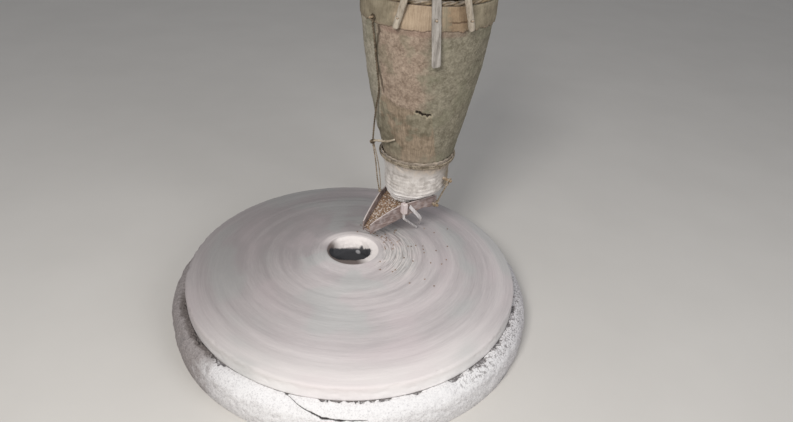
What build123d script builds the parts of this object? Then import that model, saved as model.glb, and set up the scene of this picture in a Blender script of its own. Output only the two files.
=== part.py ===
from build123d import *
import os
from math import atan2, cos, degrees, hypot, radians, sin, sqrt, tan

os.makedirs("parts", exist_ok=True)

# Lengths are in millimetres and angles in degrees. The origin is on the spindle's axis at floor
# level, +Z is up, +X runs to the right and +Y runs away from someone who stands in front of the
# stones. Names that end in _UP are heights above the mouth of the runner's eye, and names that
# end in _FROM_BACK are measured along the shoe from its closed end.

# Clearances
FIT = 0.2                # wood, iron or withies seated in a hole or round each other
RUN_FIT = 0.05           # radial, a shaft that turns in its hole
POST_GAP = 0.3           # between the post and the bed stone
CORD_GAP = 0.5           # between a cord and what it lies on
TIE_GAP = 1.3            # between the lower cord and the twig it is tied to

# Bed stone, which lies still on the floor
BED_R = 490.0            # at its top edge
BED_H = 90.0
BED_BULGE = 6.0          # how far its rough side stands out below the top edge
BED_BULGE_AT = 0.45      # share of the height
BED_ARRIS = 7.0          # the worn top edge
BUSH_R = 60.0            # wooden bush in the middle of the bed stone
BUSH_ARRIS = 3.0

# Runner stone, which turns above it
RUNNER_R = 450.0
RUNNER_EDGE = 45.0       # thickness at the rim
RUNNER_CROWN = 57.0      # rise of the worn top from the rim to the eye
RUNNER_CROWN_MID = 0.64  # share of that rise half-way in
RUNNER_SHOULDER = 9.0
RUNNER_ARRIS = 3.0
GRIND_GAP = 4.0
EYE_R = 56.0
EYE_MOUTH_R = 72.0
EYE_FLARE_H = 38.0       # depth of the flared mouth
EYE_LIP_IN = 9.0         # a point on the flare, in from the mouth and down from it
EYE_LIP_DROP = 8.0

# Iron rynd across the eye, and the spindle that carries it
RYND_L = 196.0
RYND_W = 36.0
RYND_TIP_W = 24.0
RYND_T = 16.0
RYND_BOSS_R = 30.0
RYND_BOSS_H = 28.0
RYND_BOSS_ROUND = 4.0
SPINDLE_R = 18.0
SPINDLE_SQUARE = 24.0
SPINDLE_HEAD = 9.0       # how far the square end stands above the boss
SPINDLE_ARRIS = 3.0

# Hopper: a basket of withies under a coat of mud, hung over the back of the stones
HOPPER_X = 172.0
HOPPER_Y = 147.0
HOPPER_UP = 670.0        # its top
HOPPER_R = 164.8         # outer radius at the top
HOPPER_WALL = 11.0
BELLY_DROP = 81.0        # below the top, where the wall starts to draw in
BELLY_IN = 3.8
WAIST_UP = 393.0
NECK_UP = 244.0
NECK_R = 99.0
FOOT_UP = 140.0
FOOT_R = 74.0
HOOP_R = 6.0             # section of the hoop that edges the mouth
BAND_H = 58.0            # pale band of straw cloth round the rim
BAND_T = 4.0

# Cloth sleeve round the neck of the hopper; its spout hangs into the shoe
SLEEVE_T = 3.0
SLEEVE_LAP = 2.0         # above the neck
WRAP_UP = 189.0
BAG_UP = 144.0
BAG_R = 88.0
FOLD_UP = 129.0
FOLD_R = 77.0
FOLD_SHIFT = 0.22        # share of the way from the hopper's axis to the spout's
SPOUT_UP = 97.5
SPOUT_R = 37.0
SPOUT_H = 15.0
SPOUT_SPREAD = 5.0       # wider at its top
SPOUT_FROM_BACK = 55.2
SPOUT_W = -6.9           # across the shoe, left positive
BINDING_R = 2.6
BINDING_DROPS = (9.0, 15.0)

# Feeding shoe, a wedge-shaped trough of boards that slopes down to the eye
SHOE_X = 36.0            # middle of the open tip
SHOE_Y = 30.0
SHOE_UP = 45.0           # top of the floor board at the tip
SHOE_YAW = 46.0
SHOE_L = 205.0
SHOE_SLOPE = 14.0
SHOE_TIP_HALF = 15.0
SHOE_LEFT_FLARE = 18.0
SHOE_RIGHT_FLARE = 17.5
BOARD_T = 4.0
FLOOR_T = 5.0
LIP_H = 23.0             # side boards above the floor at the tip
SIDE_UP = 106.0          # top of the side boards at the back
SIDE_SAG = 14.0          # their top edge half-way up its rise, below that top
SIDE_BACK_RISE = 2.0
SIDE_RISE_FROM_BACK = 105.0
SIDE_SKIRT = 3.0         # side boards below the floor
EAR_AHEAD = 12.0         # the ear round the pin, ahead of it
EAR_SLANT = 22.0
BACK_INSET = 1.0
PIN_FROM_BACK = 9.0      # pin the shoe hangs by
PIN_DROP = 12.0          # its axis below the top of the floor
PIN_R = 4.5
PIN_OVERHANG = 9.0

# Clapper: what rides on the turning stone and jolts the shoe
CLAP_RIDE = 3.0          # between the clappers and the stone
BLOCK_FROM_BACK = 109.0
BLOCK_L = 14.0
BLOCK_T = 17.0
BLOCK_H = 32.0
BLOCK_STAND = 9.0        # above the side board
BLOCK_ARRIS = 2.0
STICKLET_R = 3.6         # bent stick
STICKLET_SKIN = 4.0      # wood left outside it in the block
STICKLET_SOCKET = 12.0
STICKLET_KNEE_R = 10.0
STICKLET_TRAIL = 82.2    # its tip behind the block, and across the shoe
STICKLET_TIP_W = -35.6
KNEE_RISE = 21.0         # where the stick bends, above the tip of the floor
PADDLE_FROM_BACK = 88.0
PADDLE_W = 10.0
PADDLE_T = 4.0
PADDLE_DROP = 10.0       # its head below the top of the side board
PADDLE_BEND_TRAIL = 30.0 # where it bends in below the board, behind and below its head
PADDLE_BEND_DROP = 39.0
PADDLE_TRAIL = 86.0
PADDLE_TIP_W = -26.0

# Post behind the hopper and the arm that reaches over it
POST_R = 50.0
POST_TOP_R = 44.0
ARM_OVER = 48.0          # arm above the hopper's top
ARM_W = 80.0
ARM_H = 70.0
ARM_FRONT = 46.0         # arm beyond the front hanger
ARM_REAR = 78.0          # arm beyond the post's axis
ARM_ROUND = 14.0
TENON = 42.0
TENON_HEAD = 26.0
TENON_ARRIS = 4.0
WEDGE_T = 12.0
WEDGE_STAND = 16.0
WEDGE_ARRIS = 2.0

# Hangers between the arm and the rim
SLAT_W = 22.0
SLAT_T = 7.0
SLAT_FOOT_DROP = 138.0   # below the hopper's top
SLAT_HEAD = 20.0         # slat above the arm
SLAT_ARRIS = 3.0
SLAT_WORN = 9.0          # height of the broken corner at the foot
SLAT_LEAN = 4.5          # of the front slat, whose foot stands to the right
SLAT_HEAD_DX = -6.1      # of the front slat at the middle of the arm
SLAT_PIN_R = 3.0
SLAT_PIN_HALF = 20.0
STICK_R = 8.0
STICK_FOOT_DROP = 54.0
STICK_FOOT_DX = 88.0     # to the side of the hopper's axis
STICK_STAND = 5.0        # between a stick and the arm, at the peg
STICK_AHEAD = 14.0       # peg of the sticks ahead of the front slat
STICK_ROUND = 4.4
PEG_R = 5.0
PEG_STAND = 7.0
PEG_ARRIS = 1.2
RIM_PEG_R = 3.0
RIM_PEG_DROP = 28.0      # below the hopper's top
RIM_PEG_INSIDE = 4.0     # pegs stand out inside the basket, and outside what they hold
RIM_PEG_OUTSIDE = 3.5

# Cords of the shoe, with the twig that is twisted to lift it
CORD_R = 2.6
CORD_EYE_T = 6.0
TWIG_R = 3.2
TWIG_TIP_AZ = 197.9      # its free end, round the hopper's axis
TWIG_TIP_AWAY = 32.4     # from the hopper's side
TWIG_TIP_RISE = 35.0     # above the neck
TWIG_REST_AZ = 230.3     # where it bears on the hopper's side
TWIG_REST_RISE = 63.0
TWIG_SEAT = 0.8
TWIG_PAST = 7.0
CORD_FROM_TIP = 9.0
CORD_BEND_R = 40.0
CORD_AZ = 217.0          # of the cord's upper end round the hopper
CORD_PEG_DROP = 44.0
CORD_LEAVE_RISE = 51.0   # above the waist, where the upper cord leaves the hopper's side
HANGER_PEG_RISE = 36.0   # pegs in the neck, above the hopper's foot
RIGHT_LEAN = 38.0        # how far the right hanger leans out to clear the sleeve
HANGER_EYE_R = 9.0
HANGER_EYE_T = 6.0
NECK_PEG_STAND = 5.0
NECK_PEG_INSIDE = 9.0
BOARD_GAP = 4.5          # between a hanger's eye and the side board

# Levels and radii that follow from these
RUNNER_UNDER = BED_H + GRIND_GAP
RIM_TOP = RUNNER_UNDER + RUNNER_EDGE
EYE_TOP = RIM_TOP + RUNNER_CROWN
SHOULDER_R = RUNNER_R - RUNNER_SHOULDER
MID_R = (SHOULDER_R + EYE_MOUTH_R) / 2
MID_TOP = RIM_TOP + RUNNER_CROWN_MID * RUNNER_CROWN
HOPPER_TOP = EYE_TOP + HOPPER_UP
BELLY_Z = HOPPER_TOP - BELLY_DROP
BELLY_R = HOPPER_R - BELLY_IN
WAIST_Z = EYE_TOP + WAIST_UP
WAIST_R = (HOPPER_R + NECK_R) / 2
NECK_Z = EYE_TOP + NECK_UP
FOOT_Z = EYE_TOP + FOOT_UP
BAND_FOOT_Z = HOPPER_TOP - BAND_H
BAND_R = HOPPER_R + FIT + BAND_T
SLEEVE_TOP_Z = NECK_Z + SLEEVE_LAP
WRAP_Z = EYE_TOP + WRAP_UP
SHOE_Z = EYE_TOP + SHOE_UP
SIDE_TOP_Z = EYE_TOP + SIDE_UP
PIN_S = SHOE_L - PIN_FROM_BACK
SIDE_RISE_S = SHOE_L - SIDE_RISE_FROM_BACK
ARM_UNDER_Z = HOPPER_TOP + ARM_OVER
ARM_MID_Z = ARM_UNDER_Z + ARM_H / 2
ARM_TOP_Z = ARM_UNDER_Z + ARM_H
SLAT_AWAY = BAND_R + FIT + SLAT_T / 2
SLAT_PIN_Z = ARM_TOP_Z + SLAT_PIN_R + FIT
STICK_AWAY = BAND_R + FIT + STICK_R
FRONT_Y = HOPPER_Y - SLAT_AWAY
REAR_Y = HOPPER_Y + SLAT_AWAY
STICK_TOP_X = ARM_W / 2 + STICK_STAND + STICK_R
STICK_PEG_Y = FRONT_Y - STICK_AHEAD
RIM_PEG_Z = HOPPER_TOP - RIM_PEG_DROP
CORD_PEG_Z = HOPPER_TOP - CORD_PEG_DROP
POST_DIST = BED_R + BED_BULGE + POST_R + POST_GAP
POST_X = HOPPER_X
POST_Y = sqrt(POST_DIST**2 - POST_X**2)
ARM_START = FRONT_Y - ARM_FRONT
ARM_END = POST_Y + ARM_REAR


def save(piece, name):
    """Give a finished piece its name and write it."""
    piece.part.label = name
    export_step(piece.part, f"parts/{name}.step")


def front_plane(x, y, z=0.0):
    """Upright plane seen from the front: its own x is X, its own y is Z."""
    return Plane(origin=(x, y, z), x_dir=(1, 0, 0), z_dir=(0, -1, 0))


def side_plane(x, y, z=0.0):
    """Upright plane seen from the right: its own x is Y, its own y is Z."""
    return Plane(origin=(x, y, z), x_dir=(0, 1, 0), z_dir=(1, 0, 0))


def from_floor(radius, height):
    """Cylinder that stands on the plane where it is placed."""
    Cylinder(radius, height, align=(Align.CENTER, Align.CENTER, Align.MIN))


def drill(planes, radius, length):
    """Take round holes out of the part that is being built, along each plane's normal."""
    with Locations(*planes):
        Cylinder(radius, length, align=(Align.CENTER, Align.CENTER, Align.MIN),
                 mode=Mode.SUBTRACT)


def around_hopper(azimuth, radius, z):
    """Point round the hopper's axis."""
    return Vector(HOPPER_X + radius * cos(radians(azimuth)),
                  HOPPER_Y + radius * sin(radians(azimuth)), z)


def outwards(azimuth):
    return Vector(cos(radians(azimuth)), sin(radians(azimuth)), 0)


# The shoe's own directions, and places measured along and across it

ALONG = outwards(SHOE_YAW)
ACROSS = outwards(SHOE_YAW + 90)
TIP = Vector(SHOE_X, SHOE_Y, 0)


def shoe_point(s, w, z):
    """Point s behind the tip, w to the left of the middle line, at height z."""
    return TIP + ALONG * s + ACROSS * w + Vector(0, 0, z)


def floor_top(s):
    return SHOE_Z + s * tan(radians(SHOE_SLOPE))


def side_half(s, flare):
    """Outer half width of the shoe, s behind the tip."""
    return SHOE_TIP_HALF + s * tan(radians(flare))


def inner_half(s, flare):
    return side_half(s, flare) - BOARD_T / cos(radians(flare))


PIN_Z = floor_top(PIN_S) - PIN_DROP
LEFT_EYE_W = side_half(PIN_S, SHOE_LEFT_FLARE) + BOARD_GAP + HANGER_EYE_T / 2
RIGHT_EYE_W = -side_half(PIN_S, SHOE_RIGHT_FLARE) - BOARD_GAP - HANGER_EYE_T / 2

# Pegs in the neck of the hopper, each with its side, its inner end and the eye it carries
HANGER_PEG_Z = FOOT_Z + HANGER_PEG_RISE
axis_from_tip = Vector(HOPPER_X, HOPPER_Y, 0) - TIP
axis_s, axis_w = axis_from_tip.dot(ALONG), axis_from_tip.dot(ACROSS)
peg_depth = sqrt((FOOT_R - NECK_PEG_INSIDE) ** 2 - (PIN_S - axis_s) ** 2)
NECK_PEGS = [(1, axis_w + peg_depth, LEFT_EYE_W),
             (-1, axis_w - peg_depth, RIGHT_EYE_W - RIGHT_LEAN)]


def neck_peg_plane(side, start_w):
    """Plane that looks outwards along a neck peg from its inner end."""
    return Plane(origin=shoe_point(PIN_S, start_w, HANGER_PEG_Z), z_dir=ACROSS * side)


def drill_neck():
    """Take the holes of the neck pegs out of the part that is being built."""
    for side, start_w, eye_w in NECK_PEGS:
        drill([neck_peg_plane(side, start_w - side)], PIN_R + FIT, abs(eye_w - start_w))


# The hangers' lines, and the pegs that join them to the rim

def stick_ends(side):
    """Foot of a round hanger beside the rim, and its head beside the arm."""
    away_y = sqrt(STICK_AWAY**2 - STICK_FOOT_DX**2)
    foot = Vector(HOPPER_X + side * STICK_FOOT_DX, HOPPER_Y - away_y,
                  HOPPER_TOP - STICK_FOOT_DROP)
    head = Vector(HOPPER_X + side * STICK_TOP_X, STICK_PEG_Y, ARM_MID_Z)
    return foot, head


def stick_azimuth(side):
    """Direction, seen from the hopper's axis, of a round hanger at the height of its peg."""
    foot, head = stick_ends(side)
    at_peg = foot + (head - foot) * ((RIM_PEG_Z - foot.Z) / (head.Z - foot.Z))
    return degrees(atan2(at_peg.Y - HOPPER_Y, at_peg.X - HOPPER_X))


def slat_plane(y, lean, head_dx):
    """Plane of a flat hanger: its own y runs up the slat from the middle of the arm."""
    return Plane(origin=(HOPPER_X + head_dx, y, ARM_MID_Z),
                 x_dir=(cos(radians(lean)), 0, sin(radians(lean))), z_dir=(0, -1, 0))


FRONT_SLAT = slat_plane(FRONT_Y, SLAT_LEAN, SLAT_HEAD_DX)
REAR_SLAT = slat_plane(REAR_Y, 0, 0)


def up_slat(plane, z):
    """Distance up a slat's own line to height z."""
    return (z - ARM_MID_Z) / plane.y_dir.Z


def slat_azimuth(plane):
    at_peg = plane.from_local_coords((0, up_slat(plane, RIM_PEG_Z), 0))
    return degrees(atan2(at_peg.Y - HOPPER_Y, at_peg.X - HOPPER_X))


# Azimuth, height and reach from the hopper's axis of each peg in the rim
RIM_PEGS = [
    (slat_azimuth(FRONT_SLAT), RIM_PEG_Z, SLAT_AWAY + SLAT_T / 2),
    (slat_azimuth(REAR_SLAT), RIM_PEG_Z, SLAT_AWAY + SLAT_T / 2),
    (stick_azimuth(1), RIM_PEG_Z, STICK_AWAY + STICK_R),
    (stick_azimuth(-1), RIM_PEG_Z, STICK_AWAY + STICK_R),
    (CORD_AZ, CORD_PEG_Z, BAND_R + 4 * CORD_R),
]
RIM_PEG_START = HOPPER_R - HOPPER_WALL - RIM_PEG_INSIDE


def rim_peg_plane(azimuth, z, radius=RIM_PEG_START):
    """Plane that looks outwards through the rim."""
    return Plane(origin=around_hopper(azimuth, radius, z), z_dir=outwards(azimuth))


def drill_rim():
    """Take the holes of the rim pegs out of the part that is being built."""
    drill([rim_peg_plane(azimuth, z) for azimuth, z, _ in RIM_PEGS], RIM_PEG_R + FIT,
          2 * (RIM_PEG_INSIDE + HOPPER_WALL + BAND_T))


# Bed stone: a rough disc with a hole for the bush
with BuildPart() as bed_stone:
    with BuildSketch(Plane.XZ):
        with BuildLine():
            side_line = Spline((BED_R - BED_BULGE / 2, 0),
                               (BED_R + BED_BULGE, BED_H * BED_BULGE_AT),
                               (BED_R, BED_H - BED_ARRIS))
            Polyline(side_line @ 1, (BED_R - BED_ARRIS, BED_H), (BUSH_R + FIT, BED_H),
                     (BUSH_R + FIT, 0), side_line @ 0)
        make_face()
    revolve(axis=Axis.Z)
save(bed_stone, "bed_stone")

with BuildPart() as bed_bush:
    from_floor(BUSH_R, BED_H)
    drill([Plane.XY], SPINDLE_R + RUN_FIT, BED_H)
    chamfer(bed_bush.faces().sort_by(Axis.Z)[-1].outer_wire().edges(), BUSH_ARRIS)
save(bed_bush, "bed_bush")


def runner_top(r):
    """Height of the runner's worn top at radius r, on the arc through its three levels."""
    x1, z1, x2, z2, x3, z3 = SHOULDER_R, RIM_TOP, MID_R, MID_TOP, EYE_MOUTH_R, EYE_TOP
    a = x1 * (z2 - z3) - z1 * (x2 - x3) + x2 * z3 - x3 * z2
    s1, s2, s3 = x1 * x1 + z1 * z1, x2 * x2 + z2 * z2, x3 * x3 + z3 * z3
    cx = (s1 * (z2 - z3) + s2 * (z3 - z1) + s3 * (z1 - z2)) / (2 * a)
    cz = (s1 * (x3 - x2) + s2 * (x1 - x3) + s3 * (x2 - x1)) / (2 * a)
    return cz + sqrt((x1 - cx) ** 2 + (z1 - cz) ** 2 - (r - cx) ** 2)


def rynd_outline(clear):
    """Bar with tapered wings, seen from above, larger all round by clear."""
    half_l = RYND_L / 2 + clear
    half_w = RYND_W / 2 + clear
    half_tip = RYND_TIP_W / 2 + clear
    Polyline(
        (-half_l, -half_tip), (0, -half_w), (half_l, -half_tip),
        (half_l, half_tip), (0, half_w), (-half_l, half_tip), close=True,
    )


# Runner stone: domed top, rounded shoulder, flared eye, and a seat for the rynd below
ROUND_IN = RUNNER_SHOULDER * (1 - cos(radians(45)))
with BuildPart() as runner_stone:
    with BuildSketch(Plane.XZ):
        with BuildLine():
            crown = ThreePointArc((SHOULDER_R, RIM_TOP), (MID_R, MID_TOP),
                                  (EYE_MOUTH_R, EYE_TOP))
            flare = Spline(crown @ 1, (EYE_MOUTH_R - EYE_LIP_IN, EYE_TOP - EYE_LIP_DROP),
                           (EYE_R, EYE_TOP - EYE_FLARE_H))
            base = Polyline(flare @ 1, (EYE_R, RUNNER_UNDER),
                            (RUNNER_R - RUNNER_ARRIS, RUNNER_UNDER),
                            (RUNNER_R, RUNNER_UNDER + RUNNER_ARRIS),
                            (RUNNER_R, RIM_TOP - RUNNER_SHOULDER))
            ThreePointArc(base @ 1, (RUNNER_R - ROUND_IN, RIM_TOP - ROUND_IN), crown @ 0)
        make_face()
    revolve(axis=Axis.Z)
    with BuildSketch(Plane.XY.offset(RUNNER_UNDER)):
        with BuildLine():
            rynd_outline(FIT)
        make_face()
    extrude(amount=RYND_T, mode=Mode.SUBTRACT)
save(runner_stone, "runner_stone")

with BuildPart() as rynd:
    with BuildSketch(Plane.XY.offset(RUNNER_UNDER)):
        with BuildLine():
            rynd_outline(0)
        make_face()
    extrude(amount=RYND_T)
    with BuildSketch(Plane.XY.offset(RUNNER_UNDER)):
        Circle(RYND_BOSS_R)
    extrude(amount=RYND_BOSS_H)
    fillet(rynd.edges().filter_by(GeomType.CIRCLE).sort_by(Axis.Z)[-1], RYND_BOSS_ROUND)
    with BuildSketch(Plane.XY.offset(RUNNER_UNDER)):
        Rectangle(SPINDLE_SQUARE + 2 * FIT, SPINDLE_SQUARE + 2 * FIT)
    extrude(amount=RYND_BOSS_H, mode=Mode.SUBTRACT)
save(rynd, "rynd")

with BuildPart() as spindle:
    from_floor(SPINDLE_R, RUNNER_UNDER)
    with BuildSketch(Plane.XY.offset(RUNNER_UNDER)):
        Rectangle(SPINDLE_SQUARE, SPINDLE_SQUARE)
    extrude(amount=RYND_BOSS_H + SPINDLE_HEAD)
    chamfer(spindle.faces().sort_by(Axis.Z)[-1].edges(), SPINDLE_ARRIS)
save(spindle, "spindle")

# Hopper basket: a bent funnel, open above and below
hopper_plane = front_plane(HOPPER_X, HOPPER_Y)
hopper_axis = Axis((HOPPER_X, HOPPER_Y, 0), (0, 0, 1))


def hopper_profile(inset):
    """Line of the hopper from foot to belly, moved inwards by inset, as (r, z)."""
    return [(FOOT_R - inset, FOOT_Z), (NECK_R - inset, NECK_Z),
            (WAIST_R - inset, WAIST_Z), (BELLY_R - inset, BELLY_Z)]


with BuildPart() as hopper_basket:
    with BuildSketch(hopper_plane):
        with BuildLine():
            outer = Spline(*hopper_profile(0))
            inner = Spline(*hopper_profile(HOPPER_WALL))
            Polyline(outer @ 1, (HOPPER_R, BAND_FOOT_Z), (HOPPER_R, HOPPER_TOP),
                     (HOPPER_R - HOPPER_WALL, HOPPER_TOP),
                     (HOPPER_R - HOPPER_WALL, BAND_FOOT_Z), inner @ 1)
            Line(inner @ 0, outer @ 0)
        make_face()
    revolve(axis=hopper_axis)
    drill_rim()
    drill_neck()
save(hopper_basket, "hopper_basket")


def hopper_radius(z):
    """Outer radius of the hopper at height z, between its foot and its belly."""
    low, high = 0.0, 1.0
    while high - low > 1e-5:
        middle = (low + high) / 2
        if (outer @ middle).Y < z:
            low = middle
        else:
            high = middle
    return (outer @ low).X


with BuildPart() as rim_band:
    with BuildSketch(Plane.XY.offset(BAND_FOOT_Z)):
        with Locations((HOPPER_X, HOPPER_Y)):
            Circle(BAND_R)
            Circle(HOPPER_R + FIT, mode=Mode.SUBTRACT)
    extrude(amount=BAND_H)
    drill_rim()
save(rim_band, "rim_band")

with BuildPart() as rim_hoop:
    with BuildSketch(hopper_plane):
        with Locations((HOPPER_R - HOPPER_WALL / 2, HOPPER_TOP + HOOP_R)):
            Circle(HOOP_R)
    revolve(axis=hopper_axis)
save(rim_hoop, "rim_hoop")

with BuildPart() as rim_pegs:
    for azimuth, z, reach in RIM_PEGS:
        with Locations(rim_peg_plane(azimuth, z)):
            from_floor(RIM_PEG_R, reach + RIM_PEG_OUTSIDE - RIM_PEG_START)
save(rim_pegs, "rim_pegs")

# Post, arm and the wedge that locks them
with BuildPart() as post:
    for z, r in ((0, POST_R), (ARM_UNDER_Z, POST_TOP_R)):
        with BuildSketch(Plane.XY.offset(z)):
            with Locations((POST_X, POST_Y)):
                Circle(r)
    loft()
    with BuildSketch(Plane.XY.offset(ARM_UNDER_Z)):
        with Locations((POST_X, POST_Y)):
            Rectangle(TENON, TENON)
    extrude(amount=ARM_H + TENON_HEAD)
    chamfer(post.faces().sort_by(Axis.Z)[-1].edges(), TENON_ARRIS)
    with BuildSketch(front_plane(POST_X, POST_Y, ARM_TOP_Z)):
        with Locations((0, WEDGE_T / 2)):
            Rectangle(WEDGE_T + 2 * FIT, WEDGE_T)
    extrude(amount=TENON, both=True, mode=Mode.SUBTRACT)
save(post, "post")

with BuildPart() as tenon_wedge:
    with BuildSketch(front_plane(POST_X, POST_Y, ARM_TOP_Z)):
        with Locations((0, WEDGE_T / 2)):
            Rectangle(WEDGE_T, WEDGE_T - FIT)
    extrude(amount=TENON / 2 + WEDGE_STAND, both=True)
    chamfer(tenon_wedge.faces().sort_by(Axis.Y)[0].edges(), WEDGE_ARRIS)
save(tenon_wedge, "tenon_wedge")

with BuildPart() as arm:
    with BuildSketch(front_plane(POST_X, ARM_START, ARM_MID_Z)):
        RectangleRounded(ARM_W, ARM_H, ARM_ROUND)
    extrude(amount=ARM_START - ARM_END)
    with BuildSketch(Plane.XY.offset(ARM_UNDER_Z)):
        with Locations((POST_X, POST_Y)):
            Rectangle(TENON + 2 * FIT, TENON + 2 * FIT)
    extrude(amount=ARM_H, mode=Mode.SUBTRACT)
    for slat in (FRONT_SLAT, REAR_SLAT):
        with BuildSketch(Plane(origin=slat.origin, x_dir=slat.x_dir, z_dir=slat.y_dir)):
            Rectangle(SLAT_W + 2 * FIT, SLAT_T + 2 * FIT)
        extrude(amount=ARM_H, both=True, mode=Mode.SUBTRACT)
    with BuildSketch(side_plane(POST_X, STICK_PEG_Y, ARM_MID_Z)):
        Circle(PEG_R + FIT)
    extrude(amount=ARM_W, both=True, mode=Mode.SUBTRACT)
save(arm, "arm")


def build_slat(plane):
    """Flat hanger through the arm, pinned above it and pegged at the rim."""
    foot = up_slat(plane, HOPPER_TOP - SLAT_FOOT_DROP)
    head = up_slat(plane, ARM_TOP_Z + SLAT_HEAD)
    half = SLAT_W / 2
    azimuth = slat_azimuth(plane)
    with BuildPart() as slat:
        with BuildSketch(plane):
            corners = [
                (-half + SLAT_ARRIS, foot), (half - SLAT_ARRIS, foot + SLAT_ARRIS),
                (half, foot + SLAT_WORN), (half, head - SLAT_ARRIS),
                (half - SLAT_ARRIS, head), (-half + SLAT_ARRIS, head),
                (-half, head - SLAT_ARRIS), (-half, foot + 2 * SLAT_ARRIS),
            ]
            with BuildLine():
                Polyline(*corners, close=True)
            make_face()
        extrude(amount=SLAT_T / 2, both=True)
        with BuildSketch(plane):
            with Locations((0, up_slat(plane, SLAT_PIN_Z))):
                Circle(SLAT_PIN_R + FIT)
        extrude(amount=SLAT_T, both=True, mode=Mode.SUBTRACT)
        drill([rim_peg_plane(azimuth, RIM_PEG_Z)], RIM_PEG_R + FIT, SLAT_AWAY)
    return slat


save(build_slat(FRONT_SLAT), "front_slat")
save(build_slat(REAR_SLAT), "rear_slat")


def build_stick(side):
    """Round hanger beside the arm, pegged there and at the rim; side is -1 left, 1 right."""
    foot, head = stick_ends(side)
    with BuildPart() as stick:
        with Locations(Plane(origin=foot, z_dir=head - foot)):
            from_floor(STICK_R, (head - foot).length + 2 * STICK_R)
        fillet(stick.edges().filter_by(GeomType.CIRCLE), STICK_ROUND)
        with BuildSketch(side_plane(*head)):
            Circle(PEG_R + FIT)
        extrude(amount=3 * STICK_R, both=True, mode=Mode.SUBTRACT)
        drill([rim_peg_plane(stick_azimuth(side), RIM_PEG_Z)], RIM_PEG_R + FIT, STICK_AWAY)
    return stick


save(build_stick(-1), "left_stick")
save(build_stick(1), "right_stick")

with BuildPart() as stick_peg:
    with Locations(side_plane(POST_X, STICK_PEG_Y, ARM_MID_Z)):
        Cylinder(PEG_R, 2 * (STICK_TOP_X + STICK_R + PEG_STAND))
    chamfer(stick_peg.edges().filter_by(GeomType.CIRCLE), PEG_ARRIS)
save(stick_peg, "stick_peg")

with BuildPart() as slat_pins:
    for slat in (FRONT_SLAT, REAR_SLAT):
        at_pin = slat.from_local_coords((0, up_slat(slat, SLAT_PIN_Z), 0))
        with Locations(front_plane(*at_pin)):
            Cylinder(SLAT_PIN_R, 2 * SLAT_PIN_HALF)
save(slat_pins, "slat_pins")

# Sleeve: cloth round the neck, drawn in to a spout that hangs to one side
spout = shoe_point(SHOE_L - SPOUT_FROM_BACK, SPOUT_W, EYE_TOP + SPOUT_UP)
SLEEVE_TOP_R = hopper_radius(SLEEVE_TOP_Z) + 2 * FIT + SLEEVE_T
WRAP_R = hopper_radius(WRAP_Z) + 2 * FIT + SLEEVE_T


def towards_spout(share):
    """X and Y of a point between the hopper's axis and the spout's."""
    return (HOPPER_X + share * (spout.X - HOPPER_X), HOPPER_Y + share * (spout.Y - HOPPER_Y))


SLEEVE_SECTIONS = [
    (towards_spout(0), SLEEVE_TOP_Z, SLEEVE_TOP_R),
    (towards_spout(0), WRAP_Z, WRAP_R),
    (towards_spout(0), EYE_TOP + BAG_UP, BAG_R),
    (towards_spout(FOLD_SHIFT), EYE_TOP + FOLD_UP, FOLD_R),
    (towards_spout(1), spout.Z + SPOUT_H, SPOUT_R + SPOUT_SPREAD),
    (towards_spout(1), spout.Z, SPOUT_R),
]
with BuildPart() as hopper_sleeve:
    for inset, mode in ((0, Mode.ADD), (SLEEVE_T, Mode.SUBTRACT)):
        for lower, upper in zip(SLEEVE_SECTIONS[1:], SLEEVE_SECTIONS[:-1]):
            for centre, z, r in (lower, upper):
                with BuildSketch(Plane.XY.offset(z)):
                    with Locations(centre):
                        Circle(r - inset)
            loft(mode=mode, ruled=True)
    drill_neck()
save(hopper_sleeve, "hopper_sleeve")

# Binding that holds the sleeve on the neck
binding_lean = (SLEEVE_TOP_R - WRAP_R) / (SLEEVE_TOP_Z - WRAP_Z)
with BuildPart() as sleeve_binding:
    with BuildSketch(hopper_plane):
        with Locations(*[(SLEEVE_TOP_R - drop * binding_lean + FIT + BINDING_R,
                          SLEEVE_TOP_Z - drop) for drop in BINDING_DROPS]):
            Circle(BINDING_R)
    revolve(axis=hopper_axis)
save(sleeve_binding, "sleeve_binding")

# Shoe
slope_c, slope_s = cos(radians(SHOE_SLOPE)), sin(radians(SHOE_SLOPE))
floor_plane = Plane(origin=shoe_point(0, 0, SHOE_Z),
                    x_dir=ALONG * slope_c + Vector(0, 0, slope_s),
                    z_dir=ALONG * -slope_s + Vector(0, 0, slope_c))
FLOOR_L = SHOE_L / slope_c

with BuildPart() as shoe_floor:
    with BuildSketch(floor_plane):
        with BuildLine():
            Polyline((0, -inner_half(0, SHOE_RIGHT_FLARE) + FIT),
                     (FLOOR_L, -inner_half(SHOE_L, SHOE_RIGHT_FLARE) + FIT),
                     (FLOOR_L, inner_half(SHOE_L, SHOE_LEFT_FLARE) - FIT),
                     (0, inner_half(0, SHOE_LEFT_FLARE) - FIT), close=True)
        make_face()
    extrude(amount=-FLOOR_T)
save(shoe_floor, "shoe_floor")


def board_face(side, flare):
    """Outer face of a side board: its own x runs back along the board, its own y is Z."""
    direction = outwards(SHOE_YAW + side * flare)
    return Plane(origin=shoe_point(0, side * SHOE_TIP_HALF, 0), x_dir=direction,
                 z_dir=direction.cross(Vector(0, 0, 1)))


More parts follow.
